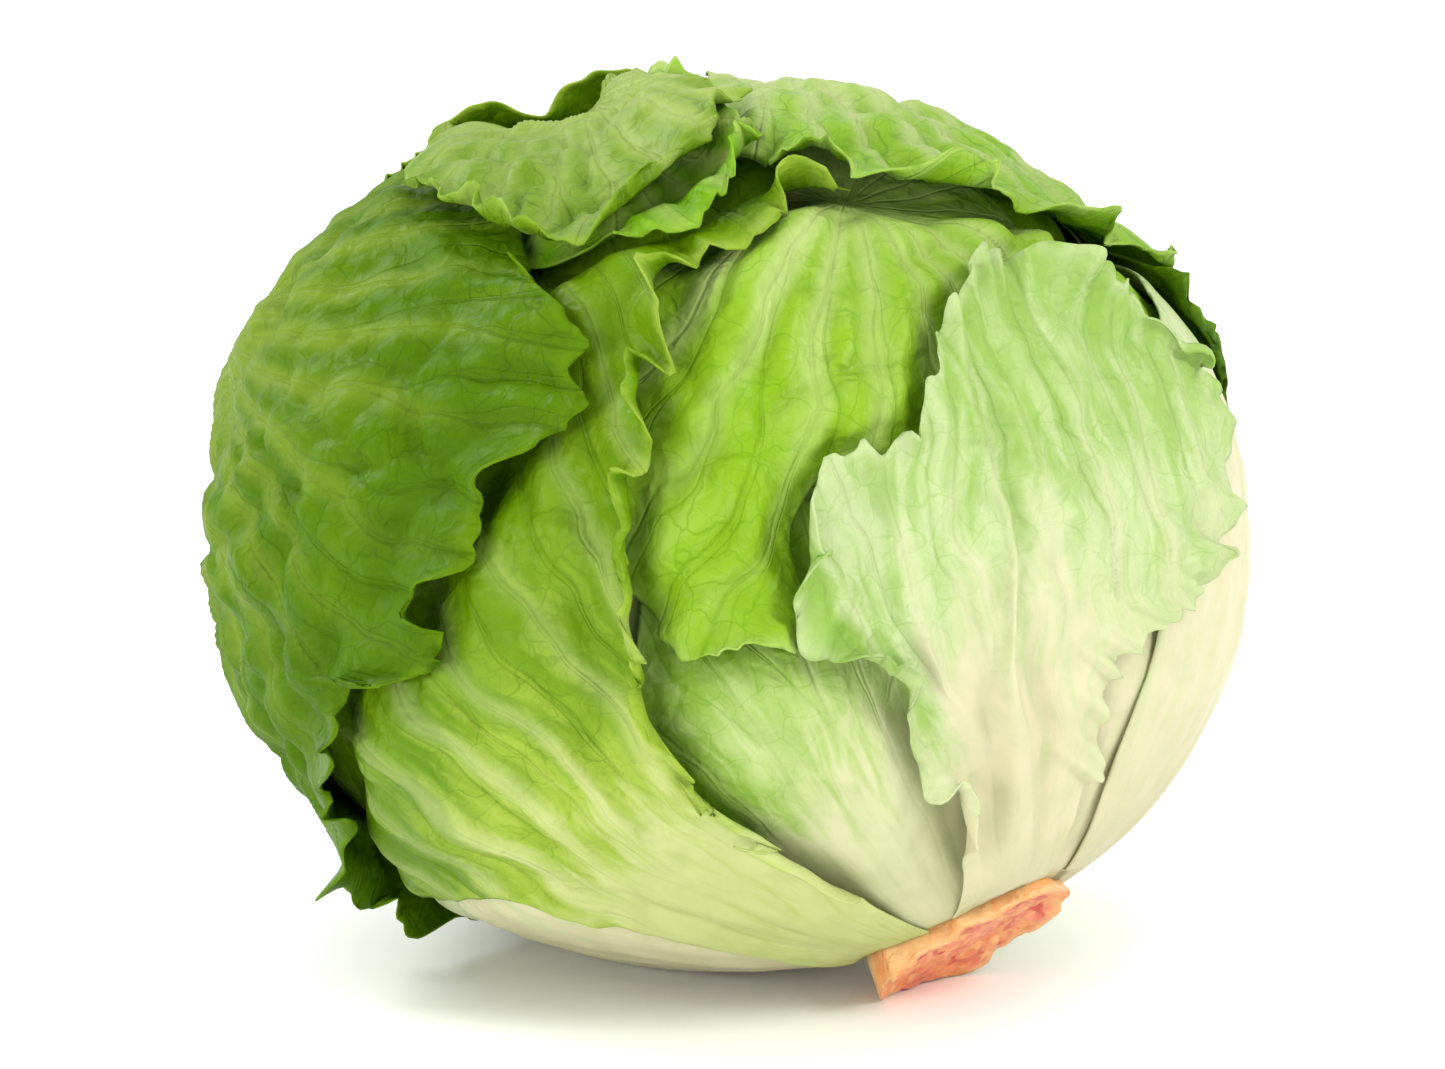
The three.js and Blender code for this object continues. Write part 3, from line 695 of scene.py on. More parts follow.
    def ridge(self, start, end, wide):
        """A soft fold between two spots."""
        a, b = (direction(*point) * BALL_RADIUS for point in (start, end))
        line = b - a
        t = np.clip(((self.flat - a) @ line) / (line @ line), 0, 1)
        near = a + t[..., None] * line
        distance = np.linalg.norm(self.flat - near, axis=-1) + 1.5 * noise(self.flat, 12.0, self.seed + 21)
        return line_mask(distance, wide) * np.sin(np.pi * np.clip(t, 0.02, 0.98)) ** 0.4


def toothed(fields, live):
    """How far the notched margin reaches out."""
    leaf, seed = fields.leaf, fields.seed
    spot, d = fields.margin_spot, fields.margin_distance
    notches = 2.2 * (1 - 2.4 * np.abs(noise(spot, 8.0, seed + 31)))
    notches = notches + 0.7 * (1 - 2 * np.abs(noise(spot, 3.0, seed + 32)))
    notches = notches + 1.2 * noise(spot, 14.0, seed + 33)
    out = leaf.get("teeth", 1.0) * notches * live * np.clip(1 - d / 6.0, 0, 1) ** 1.5
    return out + leaf.get("grow", 1.0) * live * np.clip(1 - d / 8.0, 0, 1)


def ruffled(fields, live):
    """Waves and lace along the margin: outwards and up."""
    leaf, seed = fields.leaf, fields.seed
    spot = fields.margin_spot
    ruffle = leaf.get("ruffle", 1.0)
    depth = 5.0 + 2.0 * ruffle
    strength = ruffle * live * np.clip(1 - fields.margin_distance / depth, 0, 1) ** 2
    wave = np.clip(np.sin(2 * np.pi * noise(spot, 20.0, seed + 34) * 3.5), 0, 1)
    lace = noise(spot, 4.2, seed + 35)
    return 0.8 * strength * np.clip(lace, -0.5, 1), strength * (0.1 + wave + 0.9 * lace)


def edge_motion(fields, exposed_margin):
    """How the free margin moves: outwards in the leaf's own surface and up off the head, in millimetres."""
    leaf, seed = fields.leaf, fields.seed
    spot, d = fields.margin_spot, fields.margin_distance
    live = exposed_margin * fields.free * fields.lively
    ruffle_out, up = ruffled(fields, live)
    out = toothed(fields, live) + ruffle_out
    curl = leaf.get("curl", 0.0)
    turned = np.clip(noise(spot, 10.0, seed + 36) * 2.4 - 0.2, 0, 1) * 2.4 * min(curl, 1.5)
    reach = 3.5 + 1.5 * curl + np.zeros_like(d)
    lobes = 0.7 + 0.5 * noise(spot, 8.0, seed + 37)
    for where, size, longer, higher, rolled in leaf.get("curls", []):
        near = bell(np.linalg.norm(spot - direction(*where) * BALL_RADIUS, axis=-1), size)
        out = out + longer * near * lobes * np.clip(1 - d / (size * 1.2), 0, 1) ** 1.5 * fields.free
        up = up + higher * near * (0.8 + 0.4 * lobes) * np.clip(1 - d / size, 0, 1) ** 1.3 * fields.free
        turned = turned + rolled * near
        reach = reach + 0.35 * size * near * min(rolled, 1)
    # The strip next to the margin is rolled into an arc.
    bend = np.maximum(turned * live / reach, 1e-4)
    strip = np.clip(reach - d, 0, None)
    out = out + np.sin(bend * strip) / bend - strip
    up = up + (1 - np.cos(bend * strip)) / bend
    return out, np.maximum(up, 0)


# ---------------------------------------------------------------------------------------------
# Laying the leaves

LEAF_SEEDS = {leaf["name"]: 100 + 50 * k for k, leaf in enumerate(LEAVES)}


def coverage_maps():
    """For each leaf, how far each cell is open to view: 1 where no later leaf covers it."""
    covered = []
    for leaf in LEAVES:
        cells = np.zeros((ROWS, COLUMNS))
        mark_cells(cells, *leaf_grid(leaf, 0.6), 1.0)
        covered.append(cells)
    exposed = []
    above = np.zeros((ROWS, COLUMNS))
    for cells in reversed(covered):
        exposed.append(1 - filter_map(above, 2.0, False))
        above = np.maximum(above, cells)
    return exposed[::-1]


def room_for_leaves(exposed):
    """Depth that the stack of leaves takes up at each spot."""
    room = np.zeros((ROWS, COLUMNS))
    layers = []
    for leaf, open_map in zip(LEAVES, exposed):
        grid = leaf_grid(leaf, 1.0)
        swollen = 1.7 * leaf.get("crumple", 1.0) * (0.12 + 0.88 * read_map(open_map, *grid))
        layers.append((grid, LEAF_GAP + LEAF_THICKNESS + swollen * step_up(grid[0], 14.0, 26.0)))
    for _ in range(SETTLING_PASSES):
        stack = -room
        for grid, thick in layers:
            cover = smooth_cover(stack)
            mark_cells(stack, *grid, read_map(cover, *grid) + thick)
        room = room + filter_map(stack, 5.0, False)
    room[: int(LEAF_BASE_ANGLE) + 1] = room[int(LEAF_BASE_ANGLE) + 1]
    return room


def grid_normals(p, outward):
    """Unit normals of a grid of points, on the side of the outward directions."""
    du = np.gradient(p, axis=0)
    dv = np.gradient(p, axis=1)
    n = np.cross(dv, du)
    n = n / np.maximum(np.linalg.norm(n, axis=-1, keepdims=True), 1e-9)
    if ((n * outward).sum(-1)).mean() < 0:
        n = -n
    return n


def ball_centre():
    """The stem's cut end lies STEM_REACH from the ball's centre, along the stem's own axis."""
    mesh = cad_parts["stem"].data
    points = np.array([v.co[:] for v in mesh.vertices]) / MM
    return points[np.argmax(points @ STEM_AXIS)] - STEM_AXIS * STEM_REACH


CENTRE = ball_centre()


def new_piece(name, points, faces, attributes):
    """A smooth mesh from points in millimetres around the ball's centre and lists of triangles or quads."""
    mesh = bpy.data.meshes.new(name)
    places = ((np.asarray(points) + CENTRE) * MM).astype(np.float32)
    corners = np.concatenate([np.ravel(part) for part in faces]).astype(np.int32)
    sizes = np.concatenate([np.full(len(part), part.shape[1]) for part in faces])
    mesh.vertices.add(len(places))
    mesh.vertices.foreach_set("co", places.ravel())
    mesh.loops.add(len(corners))
    mesh.loops.foreach_set("vertex_index", corners)
    mesh.polygons.add(len(sizes))
    mesh.polygons.foreach_set("loop_start", (np.cumsum(sizes) - sizes).astype(np.int32))
    mesh.update(calc_edges=True)
    mesh.validate()
    mesh.polygons.foreach_set("use_smooth", np.ones(len(mesh.polygons), bool))
    for key, values in attributes.items():
        layer = mesh.attributes.new(key, "FLOAT", "POINT")
        layer.data.foreach_set("value", np.asarray(values, np.float32).ravel())
    obj = bpy.data.objects.new(name, mesh)
    bpy.context.scene.collection.objects.link(obj)
    return obj


def shell_faces(rows, columns):
    """Quads of a closed shell between an outer and an inner grid."""
    index = np.arange(rows * columns).reshape(rows, columns)
    inner = index + rows * columns

    def quads(a, b, c, d):
        return np.stack([a.ravel(), b.ravel(), c.ravel(), d.ravel()], -1)

    parts = [
        quads(index[:-1, :-1], index[:-1, 1:], index[1:, 1:], index[1:, :-1]),
        quads(inner[:-1, :-1], inner[1:, :-1], inner[1:, 1:], inner[:-1, 1:]),
        quads(index[0, :-1], inner[0, :-1], inner[0, 1:], index[0, 1:]),
        quads(index[-1, 1:], inner[-1, 1:], inner[-1, :-1], index[-1, :-1]),
        quads(index[1:, 0], inner[1:, 0], inner[:-1, 0], index[:-1, 0]),
        quads(index[:-1, -1], inner[:-1, -1], inner[1:, -1], index[1:, -1]),
    ]
    return np.vstack(parts)


def greenness(fields):
    """0 at the white base to 1 on the green blade."""
    leaf = fields.leaf
    start, end = leaf.get("green_at", (25, 95))
    green = step_up(fields.along + 9.0 * noise(fields.flat, 20.0, fields.seed + 41), start, end)
    if "green_left" in leaf:
        side = 1 - step_up(fields.across, leaf["green_left"] * 0.3, leaf["green_left"] * 1.8)
        green = np.maximum(green, side * step_up(fields.along, 25.0, 45.0))
    return green


def make_leaf(leaf, stack, exposed_map, step):
    """Lays one leaf on the stack, raises the stack under it and turns it into a closed blade."""
    fields = LeafFields(leaf, step, LEAF_SEEDS[leaf["name"]])
    exposed = np.clip(read_map(exposed_map, fields.from_stem, fields.around), 0, 1)
    margin_angles = angles_of(unit(fields.margin_spot))
    exposed_margin = step_up(read_map(exposed_map, *margin_angles), 0.35, 0.9)
    cover = read_map(smooth_cover(stack), fields.from_stem, fields.around)
    relief, rib, relief_shading = fields.relief(exposed)
    out, up = edge_motion(fields, exposed_margin)
    edge = np.clip(1 - fields.margin_distance / 3.0, 0, 1) ** 2
    thick = LEAF_THICKNESS * (1 - 0.45 * edge)
    height = cover + LEAF_GAP + thick + np.maximum(relief, 0)
    mark_cells(stack, fields.from_stem, fields.around, height + 0.3 * np.minimum(up, 2.0))
    radius = head_radius(fields.from_stem, fields.around) + hug(height) + 0.8 * up
    outer = fields.units * radius[..., None] + fields.out * out[..., None]
    outer = keep_off_cut(outer)
    lowest = TABLE_CLEARANCE - CENTRE[2]
    outer[..., 2] = np.maximum(outer[..., 2], lowest)
    normals = grid_normals(outer, fields.units)
    inner = outer - normals * thick[..., None]
    inner[..., 2] = np.maximum(inner[..., 2], lowest + 0.1)
    layers = {
        "green": greenness(fields),
        "phase": fields.phase,
        "spread": fields.spread,
        "reach": fields.reach,
        "rib": rib,
        # Relief mask that the pigment turns into painted highlight and painted shade.
        "relief_shading": relief_shading,
        "rim": np.clip(1 - fields.margin_distance / RIM_WIDTH, 0, 1) * fields.free,
    }
    obj = new_piece(
        leaf["name"] + "_blade",
        np.vstack([outer.reshape(-1, 3), inner.reshape(-1, 3)]),
        [shell_faces(*fields.u.shape)],
        {key: np.tile(values.ravel(), 2) for key, values in layers.items()},
    )
    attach(obj, "root")
    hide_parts(leaf["name"])
    return obj


def hug(height):
    """Holds high piles of leaves close to the head, in the same order."""
    over = np.maximum(height - HUG_START, 0)
    return np.minimum(height, HUG_START) + HUG_ROOM * np.tanh(over / HUG_ROOM)


def keep_off_cut(points):
    """Leaf bases end level with the stem's cut face."""
    clear_radius, slope = 21.0, 0.9
    depth = points @ STEM_AXIS
    beside = np.linalg.norm(points - depth[..., None] * STEM_AXIS, axis=-1)
    allowed = STEM_REACH - STEM_LIP + slope * np.maximum(beside - clear_radius, 0)
    return points - np.maximum(depth - allowed, 0)[..., None] * STEM_AXIS


# ---------------------------------------------------------------------------------------------
# Shader node groups


class Nodes:
    """Short ways to add and join nodes in one tree."""

    def __init__(self, tree):
        self.tree = tree

    def add(self, kind, **settings):
        node = self.tree.nodes.new(kind)
        for key, value in settings.items():
            setattr(node, key, value)
        return node

    def join(self, source, target):
        self.tree.links.new(source, target)

    def put(self, socket, value):
        if hasattr(value, "is_output"):
            self.join(value, socket)
        else:
            socket.default_value = value

    def math(self, operation, a, b=0.0, clamp=False):
        node = self.add("ShaderNodeMath", operation=operation, use_clamp=clamp)
        self.put(node.inputs[0], a)
        self.put(node.inputs[1], b)
        return node.outputs[0]

    def mix(self, factor, a, b, blend="MIX"):
        node = self.add("ShaderNodeMix", data_type="RGBA", blend_type=blend)
        self.put(node.inputs[0], factor)
        self.put(node.inputs[6], a)
        self.put(node.inputs[7], b)
        return node.outputs[2]

    def attribute(self, name):
        return self.add("ShaderNodeAttribute", attribute_name=name).outputs["Fac"]

    def noise(self, vector, scale, detail=3.0, distortion=0.0):
        node = self.add("ShaderNodeTexNoise")
        self.put(node.inputs["Vector"], vector)
        node.inputs["Scale"].default_value = scale
        node.inputs["Detail"].default_value = detail
        node.inputs["Distortion"].default_value = distortion
        return node.outputs["Fac"]

    def span(self, value, low, high, to_low=0.0, to_high=1.0):
        node = self.add("ShaderNodeMapRange", interpolation_type="SMOOTHSTEP")
        self.put(node.inputs["Value"], value)
        for key, number in (("From Min", low), ("From Max", high), ("To Min", to_low), ("To Max", to_high)):
            self.put(node.inputs[key], number)
        return node.outputs["Result"]


def new_group(name, inputs, outputs):
    tree = bpy.data.node_groups.new(name, "ShaderNodeTree")
    for label, kind, default in inputs:
        socket = tree.interface.new_socket(label, in_out="INPUT", socket_type=kind)
        if default is not None:
            socket.default_value = default
    for label, kind in outputs:
        tree.interface.new_socket(label, in_out="OUTPUT", socket_type=kind)
    nodes = Nodes(tree)
    return tree, nodes, nodes.add("NodeGroupInput").outputs, nodes.add("NodeGroupOutput").inputs


def vein_net_group():
    """Thin veins: long ones that fan out and fork, and a net of finer ones between them."""
    tree, n, inp, out = new_group(
        "vein net",
        [
            ("Vector", "NodeSocketVector", None),
            ("Phase", "NodeSocketFloat", 0.0),
            ("Spread", "NodeSocketFloat", 10.0),
            ("Cell Size", "NodeSocketFloat", 8.0),
            ("Thickness", "NodeSocketFloat", 0.35),
        ],
        [("Long Veins", "NodeSocketFloat"), ("Net", "NodeSocketFloat"), ("Cushions", "NodeSocketFloat")],
    )
    spread = inp["Spread"]
    share = n.math("FRACT", inp["Phase"])
    rest = n.math("SUBTRACT", 1.0, share)

    def line(offset, width):
        distance = n.math("MULTIPLY", n.math("ABSOLUTE", offset), spread)
        return n.span(distance, 0.0, n.math("MULTIPLY", inp["Thickness"], width), 1.0, 0.0)

    whole = line(n.math("MINIMUM", share, rest), 2.2)
    fork = n.span(spread, FORK_STARTS, FORK_ENDS, 0.0, 0.5)
    second = line(n.math("SUBTRACT", share, fork), 1.6)
    finer = n.span(spread, 11.0, 22.0, 0.0, 0.5)
    third = line(n.math("SUBTRACT", share, n.math("MULTIPLY", fork, finer)), 1.1)
    beyond = n.math("ADD", fork, n.math("MULTIPLY", n.math("SUBTRACT", 1.0, fork), finer))
    fourth = line(n.math("SUBTRACT", share, beyond), 1.1)
    long_veins = n.math("MAXIMUM", whole, n.math("MULTIPLY", second, 0.85))
    thin = n.math("MULTIPLY", n.math("MAXIMUM", third, fourth), 0.6)
    n.join(n.math("MAXIMUM", long_veins, thin), out["Long Veins"])

    warp = n.add("ShaderNodeTexNoise")
    n.join(inp["Vector"], warp.inputs["Vector"])
    warp.inputs["Scale"].default_value = 120.0
    warp.inputs["Detail"].default_value = 3.0
    push = n.add("ShaderNodeVectorMath", operation="MULTIPLY_ADD")
    n.join(warp.outputs["Color"], push.inputs[0])
    push.inputs[1].default_value = (0.008, 0.008, 0.008)
    n.join(inp["Vector"], push.inputs[2])
    rate = n.math("DIVIDE", 1000.0, inp["Cell Size"])
    lines, cushions = 0.0, 0.0
    for ratio, wide, part in ((1.0, 0.035, 1.0), (2.2, 0.05, 0.5)):
        cells = n.add("ShaderNodeTexVoronoi", feature="DISTANCE_TO_EDGE")
        n.join(push.outputs[0], cells.inputs["Vector"])
        n.join(n.math("MULTIPLY", rate, ratio), cells.inputs["Scale"])
        edge = n.span(cells.outputs["Distance"], 0.0, wide, part, 0.0)
        dome = n.span(cells.outputs["Distance"], 0.0, 0.4, 0.0, part)
        lines = n.math("MAXIMUM", edge, lines)
        cushions = n.math("ADD", dome, cushions)
    n.join(lines, out["Net"])
    n.join(cushions, out["Cushions"])
    return tree


def leaf_pigment_group():
    """Leaf colour from the rib base to the blade, with veins, streaks, blotches, a brighter rim, and painted
    highlight and painted shade read from the relief.
    """
    colour = "NodeSocketColor"
    tree, n, inp, out = new_group(
        "leaf pigment",
        [
            ("Green", "NodeSocketFloat", 0.5),
            ("Rib", "NodeSocketFloat", 0.0),
            ("Rim", "NodeSocketFloat", 0.0),
            ("Swell", "NodeSocketFloat", 0.0),
            ("Veins", "NodeSocketFloat", 0.0),
            ("Net", "NodeSocketFloat", 0.0),
            ("Phase", "NodeSocketFloat", 0.0),
            ("Reach", "NodeSocketFloat", 0.0),
            ("Vector", "NodeSocketVector", None),
            ("Base Colour", colour, None),
            ("Pale Colour", colour, None),
            ("Blade Colour", colour, None),
            ("Dark Colour", colour, None),
            ("Vein Colour", colour, None),
        ],
        [("Colour", colour)],
    )
    blotch = n.noise(inp["Vector"], 30.0, 4.0, 0.4)
    fine = n.noise(inp["Vector"], 170.0, 3.0)
    grid = n.add("ShaderNodeCombineXYZ")
    n.join(n.math("MULTIPLY", inp["Phase"], 2.2), grid.inputs[0])
    n.join(n.math("MULTIPLY", inp["Reach"], 0.045), grid.inputs[1])
    streaks = n.noise(grid.outputs[0], 1.6, 4.0, 0.6)
    green = n.math("ADD", inp["Green"], n.span(blotch, 0.3, 0.7, -0.10, 0.10))
    green = n.math("ADD", green, n.span(streaks, 0.32, 0.68, -0.16, 0.16))
    first = n.mix(n.span(green, 0.0, 0.45), inp["Base Colour"], inp["Pale Colour"])
    body = n.mix(n.span(green, 0.35, 1.0), first, inp["Blade Colour"])
    shade = n.math("MULTIPLY", n.span(blotch, 0.45, 0.75, 0.0, 0.6), n.span(green, 0.5, 1.0))
    body = n.mix(shade, body, inp["Dark Colour"])
    # Painted highlight on raised cushions and painted shade in the low hollows, both read from the relief
    # mask.
    painted_highlight = n.math("MULTIPLY", n.span(inp["Swell"], 0.2, 1.6, 0.0, 0.25), n.span(green, 0.3, 1.0))
    body = n.mix(painted_highlight, body, inp["Pale Colour"])
    sunk = n.math("MULTIPLY", n.span(inp["Swell"], -1.8, -0.4, 0.75, 0.0), n.span(green, 0.3, 1.0))
    body = n.mix(sunk, body, inp["Dark Colour"])
    net = n.math("MULTIPLY", inp["Net"], n.span(green, 0.1, 0.8, 0.0, 0.8))
    body = n.mix(net, body, inp["Vein Colour"])
    beside = n.math("MULTIPLY", inp["Rib"], n.span(green, 0.2, 0.9, 0.9, 0.7))
    body = n.mix(beside, body, inp["Base Colour"])
    lines = n.math("MULTIPLY", inp["Veins"], n.span(green, 0.15, 0.8, 0.0, 0.55))
    lines = n.math("MULTIPLY", lines, n.span(inp["Rib"], 0.05, 0.5, 1.0, 0.1))
    body = n.mix(lines, body, inp["Vein Colour"])
    rim = n.math("MULTIPLY", n.span(inp["Rim"], 0.55, 1.0, 0.0, 0.65), n.span(fine, 0.3, 0.6))
    body = n.mix(rim, body, inp["Pale Colour"])
    body = n.mix(n.span(fine, 0.35, 0.65, 0.1, 0.0), body, inp["Dark Colour"])
    n.join(body, out["Colour"])
    return tree


VEIN_NET = vein_net_group()
LEAF_PIGMENT = leaf_pigment_group()


def place_group(nodes, tree, **values):
    node = nodes.add("ShaderNodeGroup", node_tree=tree)
    for key, value in values.items():
        nodes.put(node.inputs[key.replace("_", " ")], value)
    return node.outputs


def leaf_material(name, hue, cell_size, rough, net_share, gloss=0.18):
    material = bpy.data.materials.new(name)
    material.use_nodes = True
    tree = material.node_tree
    tree.nodes.clear()
    n = Nodes(tree)
    where = n.add("ShaderNodeTexCoord").outputs["Object"]
    green, phase, rib = n.attribute("green"), n.attribute("phase"), n.attribute("rib")
    net = place_group(
        n,
        VEIN_NET,
        Vector=where,
        Phase=phase,
        Spread=n.attribute("spread"),
        Cell_Size=cell_size,
        Thickness=0.24,
    )
    base, pale, blade, dark, veins = (c + (1.0,) for c in HUES[hue])
    pigment = place_group(
        n,
        LEAF_PIGMENT,
        Green=green,
        Rib=rib,
        Rim=n.attribute("rim"),
        Swell=n.attribute("relief_shading"),
        Veins=net["Long Veins"],
        Net=n.math("MULTIPLY", net["Net"], net_share),
        Phase=phase,
        Reach=n.attribute("reach"),
        Vector=where,
        Base_Colour=base,
        Pale_Colour=pale,
        Blade_Colour=blade,
        Dark_Colour=dark,
        Vein_Colour=veins,
    )["Colour"]
    height = n.math("MULTIPLY", net["Cushions"], n.span(green, 0.0, 0.6, 0.1, 1.0))
    sunk_veins = n.math("MULTIPLY", net["Long Veins"], n.span(green, 0.0, 0.6, 0.1, 0.5))
    height = n.math("SUBTRACT", height, sunk_veins)
    grain = n.noise(where, 900.0, 2.0)
    height = n.math("ADD", height, n.math("MULTIPLY", grain, 0.15))
    bump = n.add("ShaderNodeBump")
    bump.inputs["Strength"].default_value = 0.55
    bump.inputs["Distance"].default_value = CUSHION_HEIGHT * MM
    n.join(height, bump.inputs["Height"])
    shader = n.add("ShaderNodeBsdfPrincipled")
    n.join(pigment, shader.inputs["Base Color"])
    n.join(bump.outputs[0], shader.inputs["Normal"])
    n.join(n.span(n.noise(where, 60.0, 3.0), 0.3, 0.7, rough - 0.06, rough + 0.1), shader.inputs["Roughness"])
    shader.inputs["Specular IOR Level"].default_value = gloss
    through = n.add("ShaderNodeBsdfTranslucent")
    n.join(pigment, through.inputs["Color"])
    n.join(bump.outputs[0], through.inputs["Normal"])
    blend = n.add("ShaderNodeMixShader")
    blend.inputs[0].default_value = LIGHT_THROUGH
    n.join(shader.outputs[0], blend.inputs[1])
    n.join(through.outputs[0], blend.inputs[2])
    n.join(blend.outputs[0], n.add("ShaderNodeOutputMaterial").inputs["Surface"])
    return material


# ---------------------------------------------------------------------------------------------
# Stem and heart


def stem_rings():
    """(reach along the axis, radius, 1 on the cut face) from inside the head to the middle of the cut."""
    flare = math.tan(math.radians(STEM_HALF_ANGLE))
    rings = [
        (reach, reach * flare - STEM_CLEARANCE, 0)
        for reach in np.linspace(STEM_START, STEM_END - 2 * STEM_LIP, 24)
    ]
    edge = (STEM_END - STEM_LIP) * flare
    rings += [(STEM_END, edge * share, 1) for share in np.linspace(1.0, 0.0, 36)[:-1]]
    return rings, edge


def fan(middle, rim):
    """Triangles from one point to each pair of neighbours on a ring."""
    return np.stack([np.full(len(rim), middle), rim, np.roll(rim, -1)], -1)


def ring_quads(index):
    """Quads between the rings of a grid that closes on itself."""
    following = np.roll(index, -1, axis=1)
    return np.stack([index[:-1], index[1:], following[1:], following[:-1]], -1).reshape(-1, 4)


def make_stem():
    """The butt: a cone below the leaves with a rough, slightly sunk cut face and a ragged lip."""
    turns, seed = 160, 900
    b = np.radians(np.linspace(0, 360, turns, endpoint=False))[:, None]
    across = np.sin(b) * np.where(np.sin(b) > 0, STEM_WIDER_RIGHT, STEM_NARROWER_LEFT)
    side = np.cos(b) * FRONT_AXIS + across * SIDE_AXIS
    rings, edge = stem_rings()
    points, cut, radial = [], [], []
    for reach, radius, on_cut in rings:
        p = STEM_AXIS * reach + side * radius
        share = radius / edge
        lump = layered_noise(p, 5.0, seed, 3)
        if on_cut:
            pits = 0.4 * np.abs(noise(p, 1.6, seed + 1))
            dish = -1.4 * (1 - share**4) + lump * (0.4 + 0.6 * share) + pits
            p = p + STEM_AXIS * np.minimum(dish, 0.6)[:, None]
        ragged = 1.28 * noise(side * 40.0, 9.0, seed + 2) * step_up(np.array(reach), 68.0, STEM_END) * share
        points.append(p + side * ragged[:, None])
        cut.append(np.full(turns, float(on_cut)))
        radial.append(np.full(turns, share))
    points.append([STEM_AXIS * STEM_START, STEM_AXIS * (STEM_REACH - 1.4)])
    points = np.vstack(points)
    points[:, 2] = np.maximum(points[:, 2], TABLE_CLEARANCE + 0.05 - CENTRE[2])
    index = np.arange(len(rings) * turns).reshape(len(rings), turns)
    inside, face = index.size, index.size + 1
    obj = new_piece(
        "stem_butt",
        points,
        [ring_quads(index), fan(inside, index[0]), fan(face, index[-1])[:, [0, 2, 1]]],
        {"cut": np.concatenate(cut + [[0.0, 1.0]]), "radial": np.concatenate(radial + [[0.0, 0.0]])},
    )
    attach(obj, "root")
    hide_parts("stem")
    obj.data.materials.append(stem_material())
    return obj


def stem_material():
    material = bpy.data.materials.new("cut stem")
    material.use_nodes = True
    material.node_tree.nodes.clear()
    n = Nodes(material.node_tree)
    where = n.add("ShaderNodeTexCoord").outputs["Object"]
    cut, radial = n.attribute("cut"), n.attribute("radial")
    blotch = n.noise(where, 130.0, 4.0, 0.8)
    fine = n.noise(where, 520.0, 3.0, 0.5)
    orange, amber = (0.72, 0.23, 0.06, 1), (0.80, 0.44, 0.17, 1)
    pink, red = (0.72, 0.20, 0.12, 1), (0.55, 0.055, 0.03, 1)
    cream = (0.86, 0.66, 0.36, 1)
    face = n.mix(n.span(blotch, 0.35, 0.65), orange, pink)
    face = n.mix(n.span(fine, 0.4, 0.7), face, amber)
    face = n.mix(n.span(n.noise(where, 210.0, 3.0, 1.0), 0.52, 0.68), face, red)
    lip = n.math("MULTIPLY", n.span(radial, 0.86, 1.0), n.span(blotch, 0.3, 0.55))
    face = n.mix(lip, face, amber)
    side = n.mix(n.span(radial, 0.80, 0.97, 0.0, 0.95), cream, n.mix(n.span(blotch, 0.4, 0.6), amber, orange))
    body = n.mix(cut, side, face)
    bump = n.add("ShaderNodeBump")
    bump.inputs["Strength"].default_value = 0.7
    bump.inputs["Distance"].default_value = 0.0008
    n.join(n.math("ADD", fine, blotch), bump.inputs["Height"])
    shader = n.add("ShaderNodeBsdfPrincipled")
    n.join(body, shader.inputs["Base Color"])
    n.join(bump.outputs[0], shader.inputs["Normal"])
    n.join(n.span(fine, 0.3, 0.7, 0.28, 0.55), shader.inputs["Roughness"])
    n.join(shader.outputs[0], n.add("ShaderNodeOutputMaterial").inputs["Surface"])
    return material


def make_heart(room):
    """The tight inner ball, creased like the leaves it stands for."""
    rings = np.concatenate([[STEM_HALF_ANGLE + 1.0], np.arange(14.0, 179.0, 1.5)])
    around = np.arange(0.0, 360.0, 1.5)
    from_stem, turn = np.meshgrid(rings, around, indexing="ij")
    units = direction(from_stem, turn)
    radius = head_radius(from_stem, turn) - read_map(room, from_stem, turn) - 0.4
    flat = units * radius[..., None]
    crease = np.abs(layered_noise(flat, 24.0, 950, 3))
    radius = radius - 0.9 * crease
    points = (units * radius[..., None]).reshape(-1, 3)
    rows, columns = from_stem.shape
    points = np.vstack([points, STEM_AXIS * 50.0, -STEM_AXIS * radius[-1].mean()])
    index = np.arange(rows * columns).reshape(rows, columns)
    quads = ring_quads(index)[:, [0, 3, 2, 1]]
    base, top = fan(index.size, index[0])[:, [0, 2, 1]], fan(index.size + 1, index[-1])
    reach = np.concatenate([from_stem.ravel(), [0.0, 180.0]])
    crease = np.concatenate([crease.ravel(), [0.0, 0.0]])
    layers = {
        "green": step_up(reach, 30.0, 110.0),
        "rib": np.clip(1 - crease * 6, 0, 1),
        "phase": np.concatenate([turn.ravel() / 15.0, [0.0, 0.0]]),
        "reach": reach * 1.3,
        "spread": 18.0 * np.sin(np.radians(reach)) + 1.0,
    }
    obj = new_piece("heart_ball", points, [quads, base, top], layers)
    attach(obj, "root")
    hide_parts("heart")
    obj.data.materials.append(leaf_material("heart leaves", "fresh", 9.0, 0.45, 0.8))
    return obj


# ---------------------------------------------------------------------------------------------
# Build


def leaf_skin(leaf):
    cell, net_share = (8.0, 1.0) if leaf["kind"] == "pinnate" else (7.0, 0.75)
    rough = 0.36 if leaf["hue"] in ("fresh", "pale", "yellow") else 0.42
    gloss = leaf.get("gloss", 0.12)
    return leaf_material(leaf["name"] + " skin", leaf["hue"], cell, rough, net_share, gloss)


def build_head():
    """Stem and heart first, then each leaf over the ones beneath it."""
    exposed = coverage_maps()
    room = room_for_leaves(exposed)
    make_stem()
    make_heart(room)
    stack = -room
    step = STEP
    for leaf, exposed_map in zip(LEAVES, exposed):
        obj = make_leaf(leaf, stack, exposed_map, step * leaf.get("coarseness", 1.0))
        obj.data.materials.append(leaf_skin(leaf))


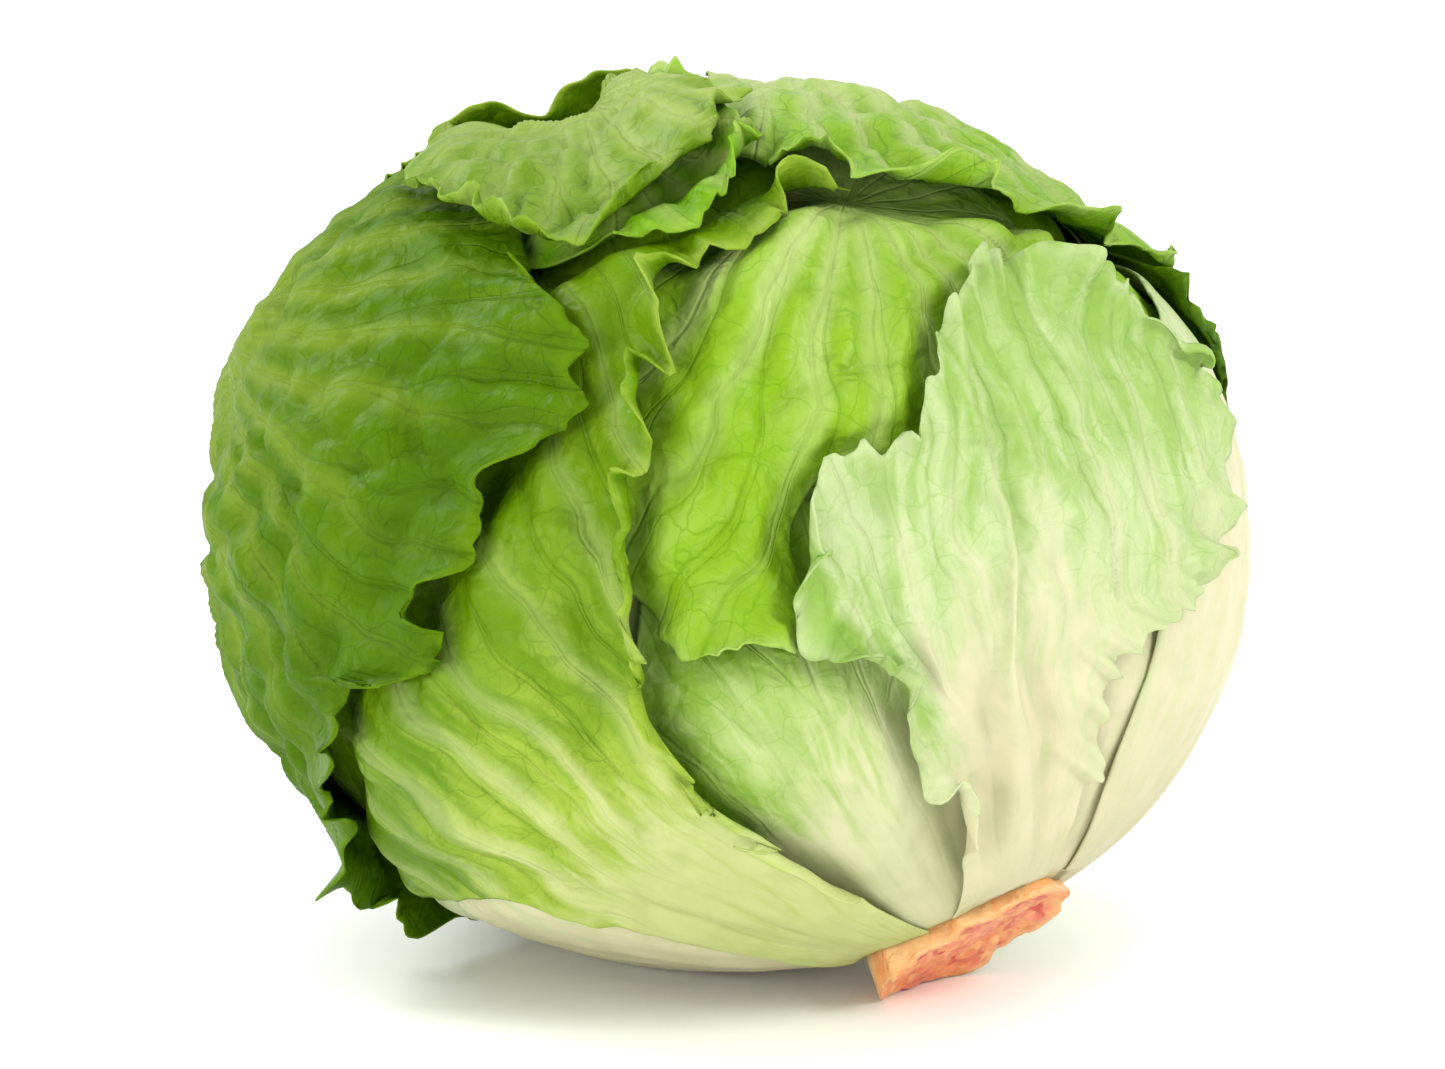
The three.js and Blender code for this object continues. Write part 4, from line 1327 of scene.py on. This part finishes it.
def make_floor():
    mesh = bpy.data.meshes.new("table_top")
    half = 8.0
    corners = [(-half, -half, 0), (half, -half, 0), (half, half, 0), (-half, half, 0)]
    mesh.from_pydata(corners, [], [(0, 1, 2, 3)])
    floor = bpy.data.objects.new("table_top", mesh)
    bpy.context.scene.collection.objects.link(floor)
    material = bpy.data.materials.new("white table")
    material.use_nodes = True
    shader = material.node_tree.nodes["Principled BSDF"]
    shader.inputs["Base Color"].default_value = (0.97, 0.97, 0.965, 1)
    shader.inputs["Roughness"].default_value = 0.7
    mesh.materials.append(material)


def make_light(name, place, size, power, target):
    light = bpy.data.lights.new(name, "AREA")
    light.size = size
    light.energy = power
    obj = bpy.data.objects.new(name, light)
    obj.location = place
    obj.rotation_euler = (Vector(target) - Vector(place)).to_track_quat("-Z", "Y").to_euler()
    bpy.context.scene.collection.objects.link(obj)


def make_lights():
    """Walls brighter behind the head than in front, a bright ceiling, and three softboxes."""
    world = bpy.data.worlds.new("white studio")
    world.use_nodes = True
    n = Nodes(world.node_tree)
    background = world.node_tree.nodes["Background"]
    background.inputs["Color"].default_value = (1, 1, 1, 1)
    parts = n.add("ShaderNodeSeparateXYZ")
    n.join(n.add("ShaderNodeTexCoord").outputs["Generated"], parts.inputs[0])
    walls = n.span(parts.outputs["Y"], -0.6, 0.1, 0.36, 1.08)
    ceiling = n.span(parts.outputs["Z"], 0.4, 0.9)
    strength = n.math("ADD", walls, n.math("MULTIPLY", ceiling, n.math("SUBTRACT", 1.45, walls)))
    horizon = n.span(parts.outputs["Z"], 0.10, 0.17, 1.0, 0.0)
    strength = n.math("ADD", strength, n.math("MULTIPLY", horizon, n.math("SUBTRACT", 1.08, strength)))
    n.join(strength, background.inputs["Strength"])
    bpy.context.scene.world = world
    middle = tuple(CENTRE * MM)
    for name, place, size, power, target in (
        ("right softbox", (1.0, -0.65, 0.85), 0.5, 12.5, middle),
        ("low front fill", (-0.75, -1.05, 0.12), 0.8, 13.0, (-0.03, -0.03, 0.02)),
        ("left softbox", (-0.9, 0.35, 0.8), 0.6, 9.0, middle),
    ):
        make_light(name, place, size, power, target)


def make_camera():
    """Looks slightly down at the head from the front through a 100 mm lens."""
    elevation, distance, lens, sensor = math.radians(10.0), 0.640, 100.0, 36.0
    aim_below_centre = 1.8336 * MM
    forward = Vector((0, math.cos(elevation), -math.sin(elevation)))
    upward = Vector((0, math.sin(elevation), math.cos(elevation)))
    data = bpy.data.cameras.new("camera")
    data.lens = lens
    data.sensor_width = sensor
    data.clip_start = 0.01
    obj = bpy.data.objects.new("camera", data)
    obj.location = Vector(CENTRE * MM) - forward * distance - upward * aim_below_centre
    obj.rotation_euler = forward.to_track_quat("-Z", "Y").to_euler()
    bpy.context.scene.collection.objects.link(obj)
    bpy.context.scene.camera = obj


build_head()
make_floor()
make_lights()
make_camera()
bpy.context.scene.view_settings.view_transform = "Standard"
